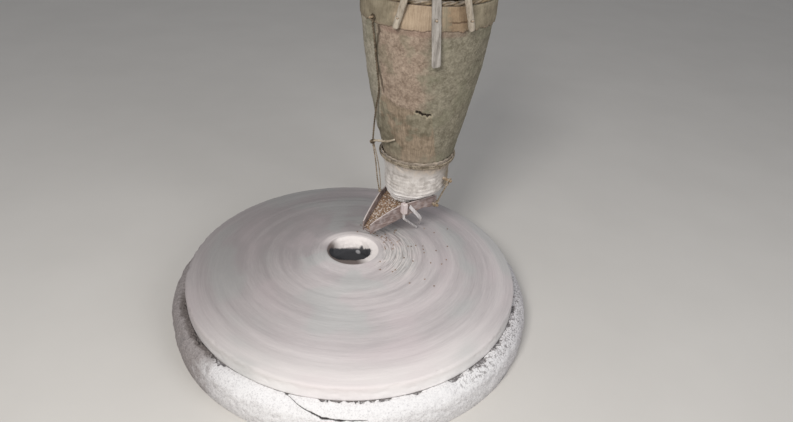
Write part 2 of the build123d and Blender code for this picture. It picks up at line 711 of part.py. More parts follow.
def side_board(side, flare):
    """Side board of the shoe with an ear for the hanging pin; side is 1 left, -1 right."""
    c = cos(radians(flare))
    skirt = FLOOR_T + SIDE_SKIRT
    ear_s = PIN_S - EAR_AHEAD
    with BuildPart() as board:
        with BuildSketch(board_face(side, flare)):
            with BuildLine():
                top = Spline((0, SHOE_Z + LIP_H), (SIDE_RISE_S / 2 / c, SIDE_TOP_Z - SIDE_SAG),
                             (SIDE_RISE_S / c, SIDE_TOP_Z))
                Polyline(top @ 1, (SHOE_L / c, SIDE_TOP_Z + SIDE_BACK_RISE),
                         (SHOE_L / c, PIN_Z - 2 * PIN_R), (ear_s / c, PIN_Z - 2 * PIN_R),
                         ((ear_s - EAR_SLANT) / c, floor_top(ear_s - EAR_SLANT) - skirt),
                         (0, SHOE_Z - skirt), top @ 0)
            make_face()
        extrude(amount=BOARD_T * side)
        drill([Plane(origin=shoe_point(PIN_S, 0, PIN_Z), z_dir=ACROSS * side)],
              PIN_R + FIT, SHOE_L)
    return board


save(side_board(1, SHOE_LEFT_FLARE), "shoe_left_board")
save(side_board(-1, SHOE_RIGHT_FLARE), "shoe_right_board")

BACK_S = SHOE_L - BOARD_T - BACK_INSET
with BuildPart() as shoe_back_board:
    with BuildSketch(Plane(origin=shoe_point(BACK_S, 0, 0), x_dir=ACROSS, z_dir=ALONG)):
        left_w = inner_half(BACK_S, SHOE_LEFT_FLARE) - FIT
        right_w = -inner_half(BACK_S, SHOE_RIGHT_FLARE) + FIT
        with BuildLine():
            Polyline((right_w, floor_top(SHOE_L) + FIT), (left_w, floor_top(SHOE_L) + FIT),
                     (left_w, SIDE_TOP_Z), (right_w, SIDE_TOP_Z), close=True)
        make_face()
    extrude(amount=BOARD_T)
save(shoe_back_board, "shoe_back_board")

with BuildPart() as shoe_pin:
    for eye_w, out in ((LEFT_EYE_W, ACROSS), (RIGHT_EYE_W, -ACROSS)):
        with Locations(Plane(origin=shoe_point(PIN_S, 0, PIN_Z), z_dir=out)):
            from_floor(PIN_R, abs(eye_w) + PIN_OVERHANG)
save(shoe_pin, "shoe_pin")

with BuildPart() as neck_pegs:
    for side, start_w, eye_w in NECK_PEGS:
        with Locations(neck_peg_plane(side, start_w)):
            from_floor(PIN_R, abs(eye_w - start_w) + HANGER_EYE_T / 2 + NECK_PEG_STAND)
save(neck_pegs, "neck_pegs")


def build_hanger(low_w, high_w):
    """Cord with an eye on the shoe's pin and an eye on a neck peg."""
    low = shoe_point(PIN_S, low_w, PIN_Z)
    high = shoe_point(PIN_S, high_w, HANGER_PEG_Z)
    reach = (high - low).normalized()
    inset = (HANGER_EYE_R + PIN_R) / 2
    with BuildPart() as hanger:
        with Locations(Plane(origin=low, z_dir=ACROSS), Plane(origin=high, z_dir=ACROSS)):
            Cylinder(HANGER_EYE_R, HANGER_EYE_T)
        with Locations(Plane(origin=low + reach * inset, z_dir=reach)):
            from_floor(CORD_R, (high - low).length - 2 * inset)
        with Locations(Plane(origin=low, z_dir=ACROSS)):
            Cylinder(PIN_R + RUN_FIT, 4 * HANGER_EYE_T, mode=Mode.SUBTRACT)
        with Locations(Plane(origin=high, z_dir=ACROSS)):
            Cylinder(PIN_R + FIT, 4 * HANGER_EYE_T, mode=Mode.SUBTRACT)
    return hanger


save(build_hanger(LEFT_EYE_W, LEFT_EYE_W), "left_hanger")
save(build_hanger(RIGHT_EYE_W, RIGHT_EYE_W - RIGHT_LEAN), "right_hanger")

# Twig against the hopper's side, and the cords above and below it
twig_tip_z = NECK_Z + TWIG_TIP_RISE
twig_rest_z = NECK_Z + TWIG_REST_RISE
twig_tip = around_hopper(TWIG_TIP_AZ, hopper_radius(twig_tip_z) + TWIG_TIP_AWAY, twig_tip_z)
twig_rest = around_hopper(TWIG_REST_AZ, hopper_radius(twig_rest_z) + TWIG_R + TWIG_SEAT,
                          twig_rest_z)
twig_reach = (twig_rest - twig_tip).normalized()
with BuildPart() as twist_twig:
    with Locations(Plane(origin=twig_tip, z_dir=twig_reach)):
        from_floor(TWIG_R, (twig_rest - twig_tip).length + TWIG_PAST)
    fillet(twist_twig.edges().filter_by(GeomType.CIRCLE), TWIG_R / 2)
save(twist_twig, "twist_twig")

cord_clear = CORD_R + CORD_GAP
cord_on_twig = twig_tip + twig_reach * CORD_FROM_TIP
cord_leave_z = WAIST_Z + CORD_LEAVE_RISE
with BuildPart() as upper_cord:
    with BuildLine():
        route = FilletPolyline(
            around_hopper(CORD_AZ, BAND_R + cord_clear, CORD_PEG_Z - RIM_PEG_R - CORD_R),
            around_hopper(CORD_AZ, BAND_R + cord_clear, BAND_FOOT_Z - CORD_R),
            around_hopper(CORD_AZ, hopper_radius(cord_leave_z) + cord_clear, cord_leave_z),
            cord_on_twig + Vector(0, 0, TWIG_R + CORD_R),
            radius=CORD_BEND_R,
        )
    with BuildSketch(Plane(origin=route @ 0, z_dir=route % 0)):
        Circle(CORD_R)
    sweep()
    with Locations(rim_peg_plane(CORD_AZ, CORD_PEG_Z, BAND_R + cord_clear)):
        Cylinder(RIM_PEG_R + FIT + 2 * CORD_R, CORD_EYE_T)
        Cylinder(RIM_PEG_R + FIT, 2 * CORD_EYE_T, mode=Mode.SUBTRACT)
save(upper_cord, "upper_cord")

cord_foot = shoe_point(SIDE_RISE_S, side_half(SIDE_RISE_S, SHOE_LEFT_FLARE) - BOARD_T / 2,
                       SIDE_TOP_Z + CORD_GAP)
cord_head = cord_on_twig - Vector(0, 0, TWIG_R + TIE_GAP)
with BuildPart() as lower_cord:
    with Locations(Plane(origin=cord_foot, z_dir=cord_head - cord_foot)):
        from_floor(CORD_R, (cord_head - cord_foot).length)
save(lower_cord, "lower_cord")

# Clapper block on the right board, with a bent stick and a paddle that ride on the stone
right_face = board_face(-1, SHOE_RIGHT_FLARE)
flare_c = cos(radians(SHOE_RIGHT_FLARE))
block_s = SHOE_L - BLOCK_FROM_BACK
block_top = SIDE_TOP_Z + BLOCK_STAND
knee_z = SHOE_Z + KNEE_RISE
sticklet_out = BLOCK_T - STICKLET_R - STICKLET_SKIN
socket_z = block_top - BLOCK_H + STICKLET_SOCKET
sticklet_head = right_face.from_local_coords((block_s / flare_c, socket_z, sticklet_out))
sticklet_knee = right_face.from_local_coords((block_s / flare_c, knee_z, sticklet_out))


def riding_tip(s, w, half_thickness):
    """Point over the runner's top, s behind the shoe's tip and w across, that just clears it."""
    place = shoe_point(s, w, 0)
    return place + Vector(0, 0, runner_top(hypot(place.X, place.Y)) + CLAP_RIDE + half_thickness)


sticklet_tip = riding_tip(block_s + STICKLET_TRAIL, STICKLET_TIP_W, STICKLET_R)

with BuildPart() as clapper_block:
    with BuildSketch(right_face):
        with Locations((block_s / flare_c, block_top - BLOCK_H / 2)):
            Rectangle(BLOCK_L, BLOCK_H)
    extrude(amount=BLOCK_T)
    chamfer(clapper_block.edges().group_by(Axis.Z)[-1], BLOCK_ARRIS)
    drill([Plane(origin=sticklet_head + Vector(0, 0, FIT), z_dir=(0, 0, -1))],
          STICKLET_R + FIT, 2 * STICKLET_SOCKET)
save(clapper_block, "clapper_block")

with BuildPart() as clapper_stick:
    with BuildLine():
        sticklet_line = FilletPolyline(sticklet_head, sticklet_knee, sticklet_tip,
                                       radius=STICKLET_KNEE_R)
    with BuildSketch(Plane(origin=sticklet_head, z_dir=(0, 0, -1))):
        Circle(STICKLET_R)
    sweep()
save(clapper_stick, "clapper_stick")

# The paddle lies on the board's face, runs back and down over its lower edge, and bends in below
paddle_s = SHOE_L - PADDLE_FROM_BACK
paddle_z = SIDE_TOP_Z - PADDLE_DROP
paddle_out = PADDLE_T / 2 + FIT
paddle_head = right_face.from_local_coords((paddle_s / flare_c, paddle_z, paddle_out))
paddle_bend = right_face.from_local_coords(
    ((paddle_s + PADDLE_BEND_TRAIL) / flare_c, paddle_z - PADDLE_BEND_DROP, paddle_out))
paddle_tip = riding_tip(paddle_s + PADDLE_TRAIL, PADDLE_TIP_W, PADDLE_W / 2)
down_board = (paddle_bend - paddle_head).normalized()
with BuildPart() as clapper_paddle:
    with BuildLine():
        straight = Line(paddle_head, paddle_bend)
        Spline(straight @ 1, paddle_tip,
               tangents=(down_board, (paddle_tip - paddle_bend).normalized()))
    with BuildSketch(Plane(origin=paddle_head, x_dir=right_face.z_dir.cross(down_board),
                           z_dir=down_board)):
        Rectangle(PADDLE_W, PADDLE_T)
    sweep()
save(clapper_paddle, "clapper_paddle")
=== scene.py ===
# %% [markdown]
# # The grinding gear of a small watermill
# A domed runner stone spins over a bed stone. A basket hopper hangs over the back of the stones,
# a cloth sleeve lets its grain down into a small wooden shoe, and the shoe shakes it into the eye
# of the runner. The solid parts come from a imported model. This lesson gives each of them the skin,
# the fibres and the flour that the real one has.

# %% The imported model
import bisect
import math
import random

import bmesh
import bpy
import numpy as np
from mathutils import Matrix, Vector, noise


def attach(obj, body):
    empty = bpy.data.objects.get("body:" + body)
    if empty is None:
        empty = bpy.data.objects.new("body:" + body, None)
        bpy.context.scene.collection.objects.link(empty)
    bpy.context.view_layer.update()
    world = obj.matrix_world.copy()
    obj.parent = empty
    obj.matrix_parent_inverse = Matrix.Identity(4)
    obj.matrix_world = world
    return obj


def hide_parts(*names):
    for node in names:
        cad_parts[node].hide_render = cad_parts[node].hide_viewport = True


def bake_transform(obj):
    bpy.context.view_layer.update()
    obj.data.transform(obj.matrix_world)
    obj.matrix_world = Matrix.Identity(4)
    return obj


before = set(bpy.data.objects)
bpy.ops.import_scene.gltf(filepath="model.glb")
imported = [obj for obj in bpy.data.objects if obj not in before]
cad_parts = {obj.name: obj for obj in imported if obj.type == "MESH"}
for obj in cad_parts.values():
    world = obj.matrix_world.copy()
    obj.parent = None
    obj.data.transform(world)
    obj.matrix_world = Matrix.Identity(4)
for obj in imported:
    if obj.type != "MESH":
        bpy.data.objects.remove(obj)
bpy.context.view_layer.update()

# %% [markdown]
# ## Where the viewer stands
# The camera could be placed by eye. Here it was fitted to the outline of the runner instead, which
# is a circle of a chosen size, so its place, its tilt and its lens all follow from one ellipse.
# The camera leans a little to one side, as a hand-held one does, so its three directions are given
# as vectors.

# %% Camera
VIEWER_AT = Vector((0.0, -1.4694, 1.2312))
SIGHT = Vector((0.06575533, 0.84875745, -0.52467803)).normalized()
HEAD_UP = Vector((-0.02118911, 0.52688515, 0.84967232)).normalized()
SENSOR, FOCAL_PIXELS, PICTURE_WIDTH = 36.0, 650.0, 793.0

camera_data = bpy.data.cameras.new("viewer")
camera_data.sensor_width = SENSOR
camera_data.lens = SENSOR * FOCAL_PIXELS / PICTURE_WIDTH
camera = bpy.data.objects.new("viewer", camera_data)
bpy.context.scene.collection.objects.link(camera)
turned_to_sight = Matrix((SIGHT.cross(HEAD_UP), HEAD_UP, -SIGHT)).transposed().to_4x4()
camera.matrix_world = Matrix.Translation(VIEWER_AT) @ turned_to_sight
bpy.context.scene.camera = camera
print("lens", round(camera_data.lens, 2), "mm")

# %% [markdown]
# ## Light and floor
# A mill is lit by one soft patch of daylight from a door. A large area lamp at the front left does
# that, a weaker one from the right keeps the shadows open, and the world fills in the rest. All
# three are kept low enough for flour to stay below pure white.

# %% Lamps, world and floor
def lamp(name, place, aim, size, watts, colour=(1.0, 1.0, 1.0)):
    """A square area lamp that looks at a point."""
    data = bpy.data.lights.new(name, "AREA")
    data.size, data.energy, data.color = size, watts, colour
    made = bpy.data.objects.new(name, data)
    bpy.context.scene.collection.objects.link(made)
    made.location = place
    made.rotation_euler = (Vector(aim) - Vector(place)).to_track_quat("-Z", "Y").to_euler()


lamp("door light", (-0.75, -2.2, 2.25), (0.05, 0.0, 0.25), 0.8, 68, (1.0, 0.985, 0.965))
lamp("room light", (2.0, -1.8, 2.1), (0.1, 0.0, 0.3), 1.6, 27, (0.97, 0.98, 1.0))

world = bpy.data.worlds.new("soft room")
bpy.context.scene.world = world
world.use_nodes = True
background = world.node_tree.nodes["Background"]
background.inputs["Color"].default_value = (0.93, 0.95, 1.0, 1.0)
background.inputs["Strength"].default_value = 0.33
bpy.context.scene.view_settings.view_transform = "Standard"

FLOOR_CORNERS = [(-9, -7, 0), (9, -7, 0), (9, 12, 0), (-9, 12, 0)]
floor_mesh = bpy.data.meshes.new("floor")
floor_mesh.from_pydata(FLOOR_CORNERS, [], [(0, 1, 2, 3)])
floor = bpy.data.objects.new("floor", floor_mesh)
bpy.context.scene.collection.objects.link(floor)
print("lamps", [light.name for light in bpy.data.lights])

# %% [markdown]
# ## Writing a material as a sum
# Nodes can be placed one by one, but a surface is easier to read as a formula. `Wire` stands for
# one output of a node and knows how to be added or multiplied. The result is a `Wire` again, and
# each sum adds its own node to the material.

# %% Colours and wires
def paint(red, green, blue):
    """A colour as a screen shows it, 0 to 255, turned into light by the usual curve of screens."""
    share = [v / 255 for v in (red, green, blue)]
    return tuple(v / 12.92 if v <= 0.04045 else ((v + 0.055) / 1.055) ** 2.4 for v in share) + (1.0,)


class Wire:
    """One output of a node, which can be used in sums."""

    def __init__(self, look, socket):
        self.look, self.socket = look, socket

    def maths(self, operation, first, second):
        return self.look.node("ShaderNodeMath", {"operation": operation}, {0: first, 1: second})

    def __add__(self, other):
        return self.maths("ADD", self, other)

    def __sub__(self, other):
        return self.maths("SUBTRACT", self, other)

    def __rsub__(self, other):
        return self.maths("SUBTRACT", other, self)

    def __mul__(self, other):
        return self.maths("MULTIPLY", self, other)

    def __truediv__(self, other):
        return self.maths("DIVIDE", self, other)

    def __pow__(self, other):
        return self.maths("POWER", self, other)

    __radd__, __rmul__ = __add__, __mul__

    def size(self):
        return self.maths("ABSOLUTE", self, None)

    def step(self, low, high):
        """0 below low, 1 above high, and a smooth rise between them."""
        return self.look.node("ShaderNodeMapRange", {"interpolation_type": "SMOOTHSTEP"},
                              {"Value": self, "From Min": low, "From Max": high})


# %% [markdown]
# `Look` is one material with a few words for what a maker needs: noise, a mix of two colours, a
# tone laid over the colour so far, a bump. Each tone comes with a mask that says where it lies, as
# a painter's glazes do. All nodes come from one method, `node`, so that a cell shows what is made
# and not how it is wired.

# %% Looks
class Look:
    """A material, built up from a Principled shader."""

    def __init__(self, name):
        self.material = bpy.data.materials.new(name)
        self.material.use_nodes = True
        self.tree = self.material.node_tree
        self.shader = self.tree.nodes["Principled BSDF"]
        self.place = self.node("ShaderNodeTexCoord", {}, {}, "Object")
        self.colour = None

    def node(self, kind, settings, sockets, out=0):
        """Any node: its settings first, then the values or wires of its sockets."""
        made = self.tree.nodes.new(kind)
        for name, value in settings.items():
            setattr(made, name, value)
        for key, value in sockets.items():
            if value is not None:
                self.feed(made.inputs[key], value)
        return Wire(self, made.outputs[out])

    def feed(self, socket, value):
        if isinstance(value, Wire):
            self.tree.links.new(value.socket, socket)
        else:
            socket.default_value = value

    def join(self, x, y, z):
        return self.node("ShaderNodeCombineXYZ", {}, {0: x, 1: y, 2: z})

    def split(self, vector):
        parts = self.node("ShaderNodeSeparateXYZ", {}, {0: vector}).socket.node.outputs
        return [Wire(self, part) for part in parts]

    def along(self, direction):
        """Distance along a direction, in metres."""
        return self.node("ShaderNodeVectorMath", {"operation": "DOT_PRODUCT"},
                         {0: self.place, 1: tuple(direction)}, "Value")

    def noise(self, scale, detail=4.0, rough=0.55, at=None, twist=0.0):
        return self.node("ShaderNodeTexNoise", {},
                         {"Vector": at or self.place, "Scale": scale, "Detail": detail,
                          "Roughness": rough, "Distortion": twist})

    def mix(self, share, first, second):
        return self.node("ShaderNodeMix", {"data_type": "RGBA"}, {0: share, 6: first, 7: second}, 2)

    def over(self, share, tone):
        """Lay a tone over the colour so far, as strongly as share says."""
        self.colour = self.mix(share, self.colour, tone)

    def facing(self, direction):
        """How much the surface faces a direction, from -1 to 1."""
        normal = self.node("ShaderNodeNewGeometry", {}, {}, "Normal")
        return self.node("ShaderNodeVectorMath", {"operation": "DOT_PRODUCT"},
                         {0: normal, 1: tuple(direction)}, "Value")

    def value(self, name):
        """A number that the mesh carries at each of its points."""
        return self.node("ShaderNodeAttribute", {"attribute_name": name}, {}, "Fac")

    def done(self, roughness, bumps=(), **constants):
        """Join the colour, the roughness and the bumps (height, depth in metres) to the shader."""
        self.feed(self.shader.inputs["Base Color"], self.colour)
        self.feed(self.shader.inputs["Roughness"], roughness)
        normal = None
        for height, depth in bumps:
            normal = self.node("ShaderNodeBump", {}, {"Strength": 1.0, "Distance": depth,
                                                      "Height": height, "Normal": normal})
        if normal:
            self.feed(self.shader.inputs["Normal"], normal)
        for name, value in constants.items():
            self.shader.inputs[name.replace("_", " ")].default_value = value
        print("look", self.material.name, len(self.tree.nodes), "nodes")
        return self.material


# %% [markdown]
# The floor is only there to catch the shadows. It is pale and a little blotched, so that it
# doesn't look like paper.

# %% Look of the floor
floor_look = Look("pale_floor")
floor_look.colour = floor_look.mix(floor_look.noise(3.0, 6.0), paint(200, 196, 190), paint(210, 206, 200))
floor_mesh.materials.append(floor_look.done(0.85))

# %% [markdown]
# ## Meshes from a formula
# Most pieces here are skins that go round an axis, or tubes. Both are quilts of squares whose points
# come from a function. A sculpted mesh could not be changed by a number, and a quilt can.
# Roughness comes from fractal noise, which is the same in every run.

# %% Roughness and smooth steps
UP = Vector((0, 0, 1))


def bumpy(point, size, octaves=4):
    """Fractal noise from about -1 to 1 whose lumps are about size across."""
    return noise.fractal(Vector(point) / size, 1.0, 2.0, octaves)


def round_noise(angle, fine, seed):
    """Noise round an axis that meets itself after a full turn."""
    return noise.noise((math.cos(angle) * fine, math.sin(angle) * fine, seed))


def signed(degrees):
    """The same bearing between -180 and 180."""
    return (degrees + 180) % 360 - 180


def clamp01(value):
    """The value, kept between 0 and 1."""
    return min(1.0, max(0.0, value))


def ease(value, low, high):
    """0 below low, 1 above high, and a smooth rise between them; low may lie above high."""
    t = clamp01((value - low) / (high - low))
    return t * t * (3 - 2 * t)


# %% Meshes and quilts
def add_mesh(name, points, faces, material, body, slot):
    """A new piece with smooth shading, on its body. slot is not used."""
    mesh = bpy.data.meshes.new(name)
    mesh.from_pydata([tuple(p) for p in points], [], faces)
    mesh.materials.append(material)
    mesh.polygons.foreach_set("use_smooth", [True] * len(mesh.polygons))
    mesh.update()
    made = bpy.data.objects.new(name, mesh)
    bpy.context.scene.collection.objects.link(made)
    if body:
        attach(made, body)
    print(name, len(mesh.polygons), "faces")
    return made


def quilt(rows, columns, closed=True, start=0):
    """Faces of a grid of points stored row by row; closed joins the last column to the first."""
    across = columns if closed else columns - 1
    return [(start + r * columns + c, start + r * columns + (c + 1) % columns,
             start + (r + 1) * columns + (c + 1) % columns, start + (r + 1) * columns + c)
            for r in range(rows - 1) for c in range(across)]


def ring_quilt(rows, columns):
    """Faces of a skin that is closed both ways: its last row joins its first."""
    last = (rows - 1) * columns
    return quilt(rows, columns) + [(last + c, last + (c + 1) % columns, (c + 1) % columns, c)
                                   for c in range(columns)]


def capped_quilt(rows, sides):
    """Faces of rows of points with a single point before the first and after the last."""
    last, tip = 1 + (rows - 1) * sides, 1 + rows * sides
    faces = quilt(rows, sides, start=1) + [(0, 1 + (k + 1) % sides, 1 + k) for k in range(sides)]
    return faces + [(tip, last + k, last + (k + 1) % sides) for k in range(sides)]


def there_and_back(point, rows, columns):
    """Points of a cloth, its outside row by row and then its inside back again.
    point(degrees, v, inner) gives one, v from 0 at the first row to 1 at the last."""
    shares = [row / (rows - 1) for row in range(rows)]
    return [point(360 * c / columns, 1 - v if inner else v, inner)
            for inner in (0, 1) for v in shares for c in range(columns)]

# %% [markdown]
# A curve object with a bevel draws one smooth tube. Strands that wind round each other need points
# of their own, so a path here is a list of points, made even and smooth, and a tube is rings of
# points along it. The smooth curve passes through the given points and not beside them, so a cord
# stays where it was laid.

# %% Smooth paths
FINE_STEPS = 12


def resample(points, gap):
    """Points at even steps along a line, on a smooth curve through the given ones."""
    p = [Vector(q) for q in points]
    p = [p[0] * 2 - p[1], *p, p[-1] * 2 - p[-2]]
    fine = []
    for a, b, c, d in zip(p, p[1:], p[2:], p[3:]):
        for i in range(FINE_STEPS):
            t = i / FINE_STEPS
            fine.append(0.5 * (2 * b + (c - a) * t + (2 * a - 5 * b + 4 * c - d) * t * t
                               + (3 * b - a - 3 * c + d) * t ** 3))
    fine.append(p[-2])
    run = [0.0]
    for a, b in zip(fine, fine[1:]):
        run.append(run[-1] + (b - a).length)
    count = max(2, round(run[-1] / gap))
    out = []
    for k in range(count + 1):
        s = run[-1] * k / count
        i = min(max(bisect.bisect_left(run, s), 1), len(run) - 1)
        t = (s - run[i - 1]) / max(run[i] - run[i - 1], 1e-9)
        out.append(fine[i - 1].lerp(fine[i], t))
    return out


def frames_along(path):
    """A sideways and an upwards direction at each point, turned as little as possible."""
    tangents = [(path[min(i + 1, len(path) - 1)] - path[max(i - 1, 0)]).normalized()
                for i in range(len(path))]
    side = tangents[0].orthogonal().normalized()
    out = []
    for t in tangents:
        side = (side - t * side.dot(t)).normalized()
        out.append((side, t.cross(side)))
    return out


# %% Tubes
def tube_points(path, radius, sides=8):
    """Rings of points round a path, with a cap at each end; radius is a number or a function."""
    size = radius if callable(radius) else (lambda i, angle: radius)
    points = [path[0]]
    for i, (p, (side, up)) in enumerate(zip(path, frames_along(path))):
        for k in range(sides):
            a = 2 * math.pi * k / sides
            points.append(p + (side * math.cos(a) + up * math.sin(a)) * size(i, a))
    points.append(path[-1])
    return points, capped_quilt(len(path), sides)


def gather(parts):
    """Several lists of points and faces as one."""
    points, faces = [], []
    for more, their in parts:
        faces += [tuple(i + len(points) for i in f) for f in their]
        points += more
    return points, faces


# %% Turned pieces
def revolved(profile, columns, move):
    """A closed profile, a list of (radius, height), turned round the upright axis.
    move(radius, height, angle, row) gives each point's new radius and height."""
    points = []
    for row, (r, z) in enumerate(profile):
        for c in range(columns):
            a = 2 * math.pi * c / columns
            moved_r, moved_z = move(r, z, a, row)
            points.append((moved_r * math.cos(a), moved_r * math.sin(a), moved_z))
    return points, ring_quilt(len(profile), columns)


# %% [markdown]
# ## The runner stone
# The runner is a grey sandstone, worn into a low dome by years of turning under trickling grain.
# Grain and flour run round it in rings, so both its height and its colour change with the
# radius and hardly with the angle. A plain disc with a noise texture would look like a table top:
# the profile is sampled every few millimetres and each ring is lifted or lowered a little.
# Small chips are taken out of the rim, and the mouth of the eye is left uneven.

# %% Sizes of the stones
RUNNER_R, RUNNER_UNDER, RIM_TOP, EYE_TOP = 0.450, 0.094, 0.139, 0.196
EYE_R, EYE_MOUTH_R, SHOULDER = 0.056, 0.072, 0.009
BED_H, BUSH_R = 0.090, 0.060
EYE_MOUTH, CROWN_MIDDLE = (EYE_MOUTH_R, EYE_TOP), (0.2565, 0.17548)


def circle_through(a, b, c):
    """Centre and radius of the circle through three points of a profile."""
    m = np.array([[2 * (b[0] - a[0]), 2 * (b[1] - a[1])], [2 * (c[0] - b[0]), 2 * (c[1] - b[1])]])
    v = np.array([b[0] ** 2 + b[1] ** 2 - a[0] ** 2 - a[1] ** 2,
                  c[0] ** 2 + c[1] ** 2 - b[0] ** 2 - b[1] ** 2])
    x, z = np.linalg.solve(m, v)
    return x, z, math.hypot(a[0] - x, a[1] - z)


crown_x, crown_z, crown_r = circle_through((RUNNER_R - SHOULDER, RIM_TOP), CROWN_MIDDLE, EYE_MOUTH)


def stone_top(r):
    """Height of the runner's dome at a radius."""
    return crown_z + math.sqrt(crown_r ** 2 - (r - crown_x) ** 2)


print("dome radius", round(crown_r, 2), "m; height half-way in", round(stone_top(0.25), 4))

# %% [markdown]
# The lip of the eye is given at four sides, as (radius, height) from the bottom of the flare to its
# mouth: on the right, behind, on the left and in front. Points between two sides are blended.
# Flour has built up on the right and in front.

# %% Runner stone: lip of the eye
EYE_LIPS = [
    [(0.0500, 0.150), (0.0462, 0.166), (0.0450, 0.178), (0.0490, 0.1890), EYE_MOUTH],
    [(0.0550, 0.150), (0.0555, 0.163), (0.0585, 0.175), (0.0640, 0.1870), EYE_MOUTH],
    [(0.0590, 0.150), (0.0622, 0.164), (0.0640, 0.177), (0.0652, 0.1885), EYE_MOUTH],
    [(0.0500, 0.150), (0.0455, 0.168), (0.0428, 0.183), (0.0455, 0.1925), EYE_MOUTH],
]
LIP_ROWS, LIP_SPANS = 17, 4


def eye_lip(t, a):
    """Radius and height of the flare, t from 0 at its bottom to 1 at the mouth."""
    share = [max(0.0, math.cos(a)) ** 2, max(0.0, math.sin(a)) ** 2,
             max(0.0, -math.cos(a)) ** 2, max(0.0, -math.sin(a)) ** 2]
    k = min(int(t * LIP_SPANS), LIP_SPANS - 1)
    f = t * LIP_SPANS - k
    f = ease(f, 0, 1) * 0.5 + f * 0.5
    r, z = [sum(w * (lip[k][part] + (lip[k + 1][part] - lip[k][part]) * f)
                for w, lip in zip(share, EYE_LIPS)) for part in (0, 1)]
    return r, z


# %% [markdown]
# The rest of the profile goes from the bore over the lip and the dome to the rounded rim, down the
# side and back along the flat underside. It has most points where it shows most.

# %% Runner stone: profile
BORE_H, BORE_ROWS, DOME_ROWS, UNDER_EDGE = 0.052, 8, 118, 0.003
runner_profile = [(EYE_R, RUNNER_UNDER + BORE_H * t / (BORE_ROWS - 1)) for t in range(BORE_ROWS)]
FIRST_LIP_ROW = len(runner_profile)
runner_profile += [eye_lip(t, math.pi / 2) for t in np.linspace(0, 1, LIP_ROWS)]
runner_profile += [(r, stone_top(r)) for r in np.linspace(EYE_MOUTH_R, RUNNER_R - SHOULDER, DOME_ROWS)[1:]]
runner_profile += [(RUNNER_R - SHOULDER + SHOULDER * math.sin(a),
                    RIM_TOP - SHOULDER + SHOULDER * math.cos(a))
                   for a in np.linspace(0, math.pi / 2, 6)[1:]]
runner_profile += [(RUNNER_R, z)
                   for z in np.linspace(RIM_TOP - SHOULDER, RUNNER_UNDER + UNDER_EDGE, 9)[1:]]
runner_profile += [(RUNNER_R - UNDER_EDGE, RUNNER_UNDER)]
runner_profile += [(r, RUNNER_UNDER) for r in np.linspace(RUNNER_R - 0.02, EYE_R + 0.004, 8)]
print("runner profile", len(runner_profile), "points")

# %% Runner stone: mesh
RING_HEIGHT, WIDE_RING_HEIGHT, RING_DROP = 0.0005, 0.0008, 0.0006
LIP_LUMP, PIT_DEPTH, CHIP_DEPTH = 0.0022, 0.004, 0.010


def wear_runner(r, z, a, row):
    """Rings on the dome, a floury lip, chips at the rim; the underside stays flat."""
    x, y = r * math.cos(a), r * math.sin(a)
    if FIRST_LIP_ROW <= row < FIRST_LIP_ROW + LIP_ROWS:
        t = (row - FIRST_LIP_ROW) / (LIP_ROWS - 1)
        r, z = eye_lip(t, a)
        middle = math.sin(math.pi * t)
        lumps = bumpy((math.cos(a) * 0.05, math.sin(a) * 0.05, z), 0.016, 4)
        return r + lumps * LIP_LUMP * middle, z + abs(lumps) * -0.0008 * middle
    if r >= EYE_MOUTH_R and z > RIM_TOP - 0.0005:
        ring = noise.noise((r * 95, 0.3 * math.cos(a), 0.3 * math.sin(a))) * RING_HEIGHT
        ring += noise.noise((r * 32 + 7, 0.3 * math.cos(a), 0.3 * math.sin(a))) * WIDE_RING_HEIGHT
        return r, z + (ring - RING_DROP) * ease(r, EYE_MOUTH_R, EYE_MOUTH_R + 0.02)
    if r > RUNNER_R - 0.006 and z > RUNNER_UNDER + 0.001:
        pit = max(0.0, bumpy((x, y, z * 1.5), 0.018, 4) - 0.12) * PIT_DEPTH
        dent = max(0.0, noise.noise((x * 24, y * 24, 5.0)) - 0.34) * CHIP_DEPTH
        dent *= 1 - ease(abs(z - (RIM_TOP - 0.004)), 0.002, 0.016)
        return r - (pit + dent + 0.0001) * ease(z, 0.098, 0.112), z - dent * 0.4
    return r, z


RUNNER_COLUMNS = 400
runner_points, runner_faces = revolved(runner_profile, RUNNER_COLUMNS, wear_runner)
print("runner skin", len(runner_points), "points")

# %% [markdown]
# The colour follows the same rings. Radius and direction are worked out from the place of each
# point, and the noise is drawn out along the turning, as flour is smeared on a turning stone.
# Several finishes here go round an upright axis, so they share one kind of look that knows it.

# %% Looks for round pieces
class RoundLook(Look):
    """A look that knows the radius, the direction (east, north) and the level of each point."""

    def __init__(self, name, x0=0.0, y0=0.0):
        super().__init__(name)
        x, y, self.level = self.split(self.place)
        x, y = x - x0, y - y0
        self.radius = (x * x + y * y) ** 0.5
        self.east, self.north = x / (self.radius + 1e-5), y / (self.radius + 1e-5)

    def parts(self):
        return self.radius, self.east, self.north, self.level

    def bearing(self):
        """Bearing in degrees: 0 to the right, 90 behind, -90 in front."""
        turn = self.node("ShaderNodeMath", {"operation": "ARCTAN2"}, {0: self.north, 1: self.east})
        return turn * (180 / math.pi)

    def smeared(self, across, along, detail, rough):
        """Noise drawn out round the axis, as fine as given from ring to ring and along them."""
        at = self.join(self.radius * across, self.east * along, self.north * along)
        return self.noise(1.0, detail, rough, at)

    def wrapped(self, sideways, upwards, detail, rough, twist):
        """Noise wrapped round the axis, as fine as given sideways and upwards."""
        at = self.join(self.east * sideways, self.north * sideways, self.level * upwards)
        return self.noise(1.0, detail, rough, at, twist)
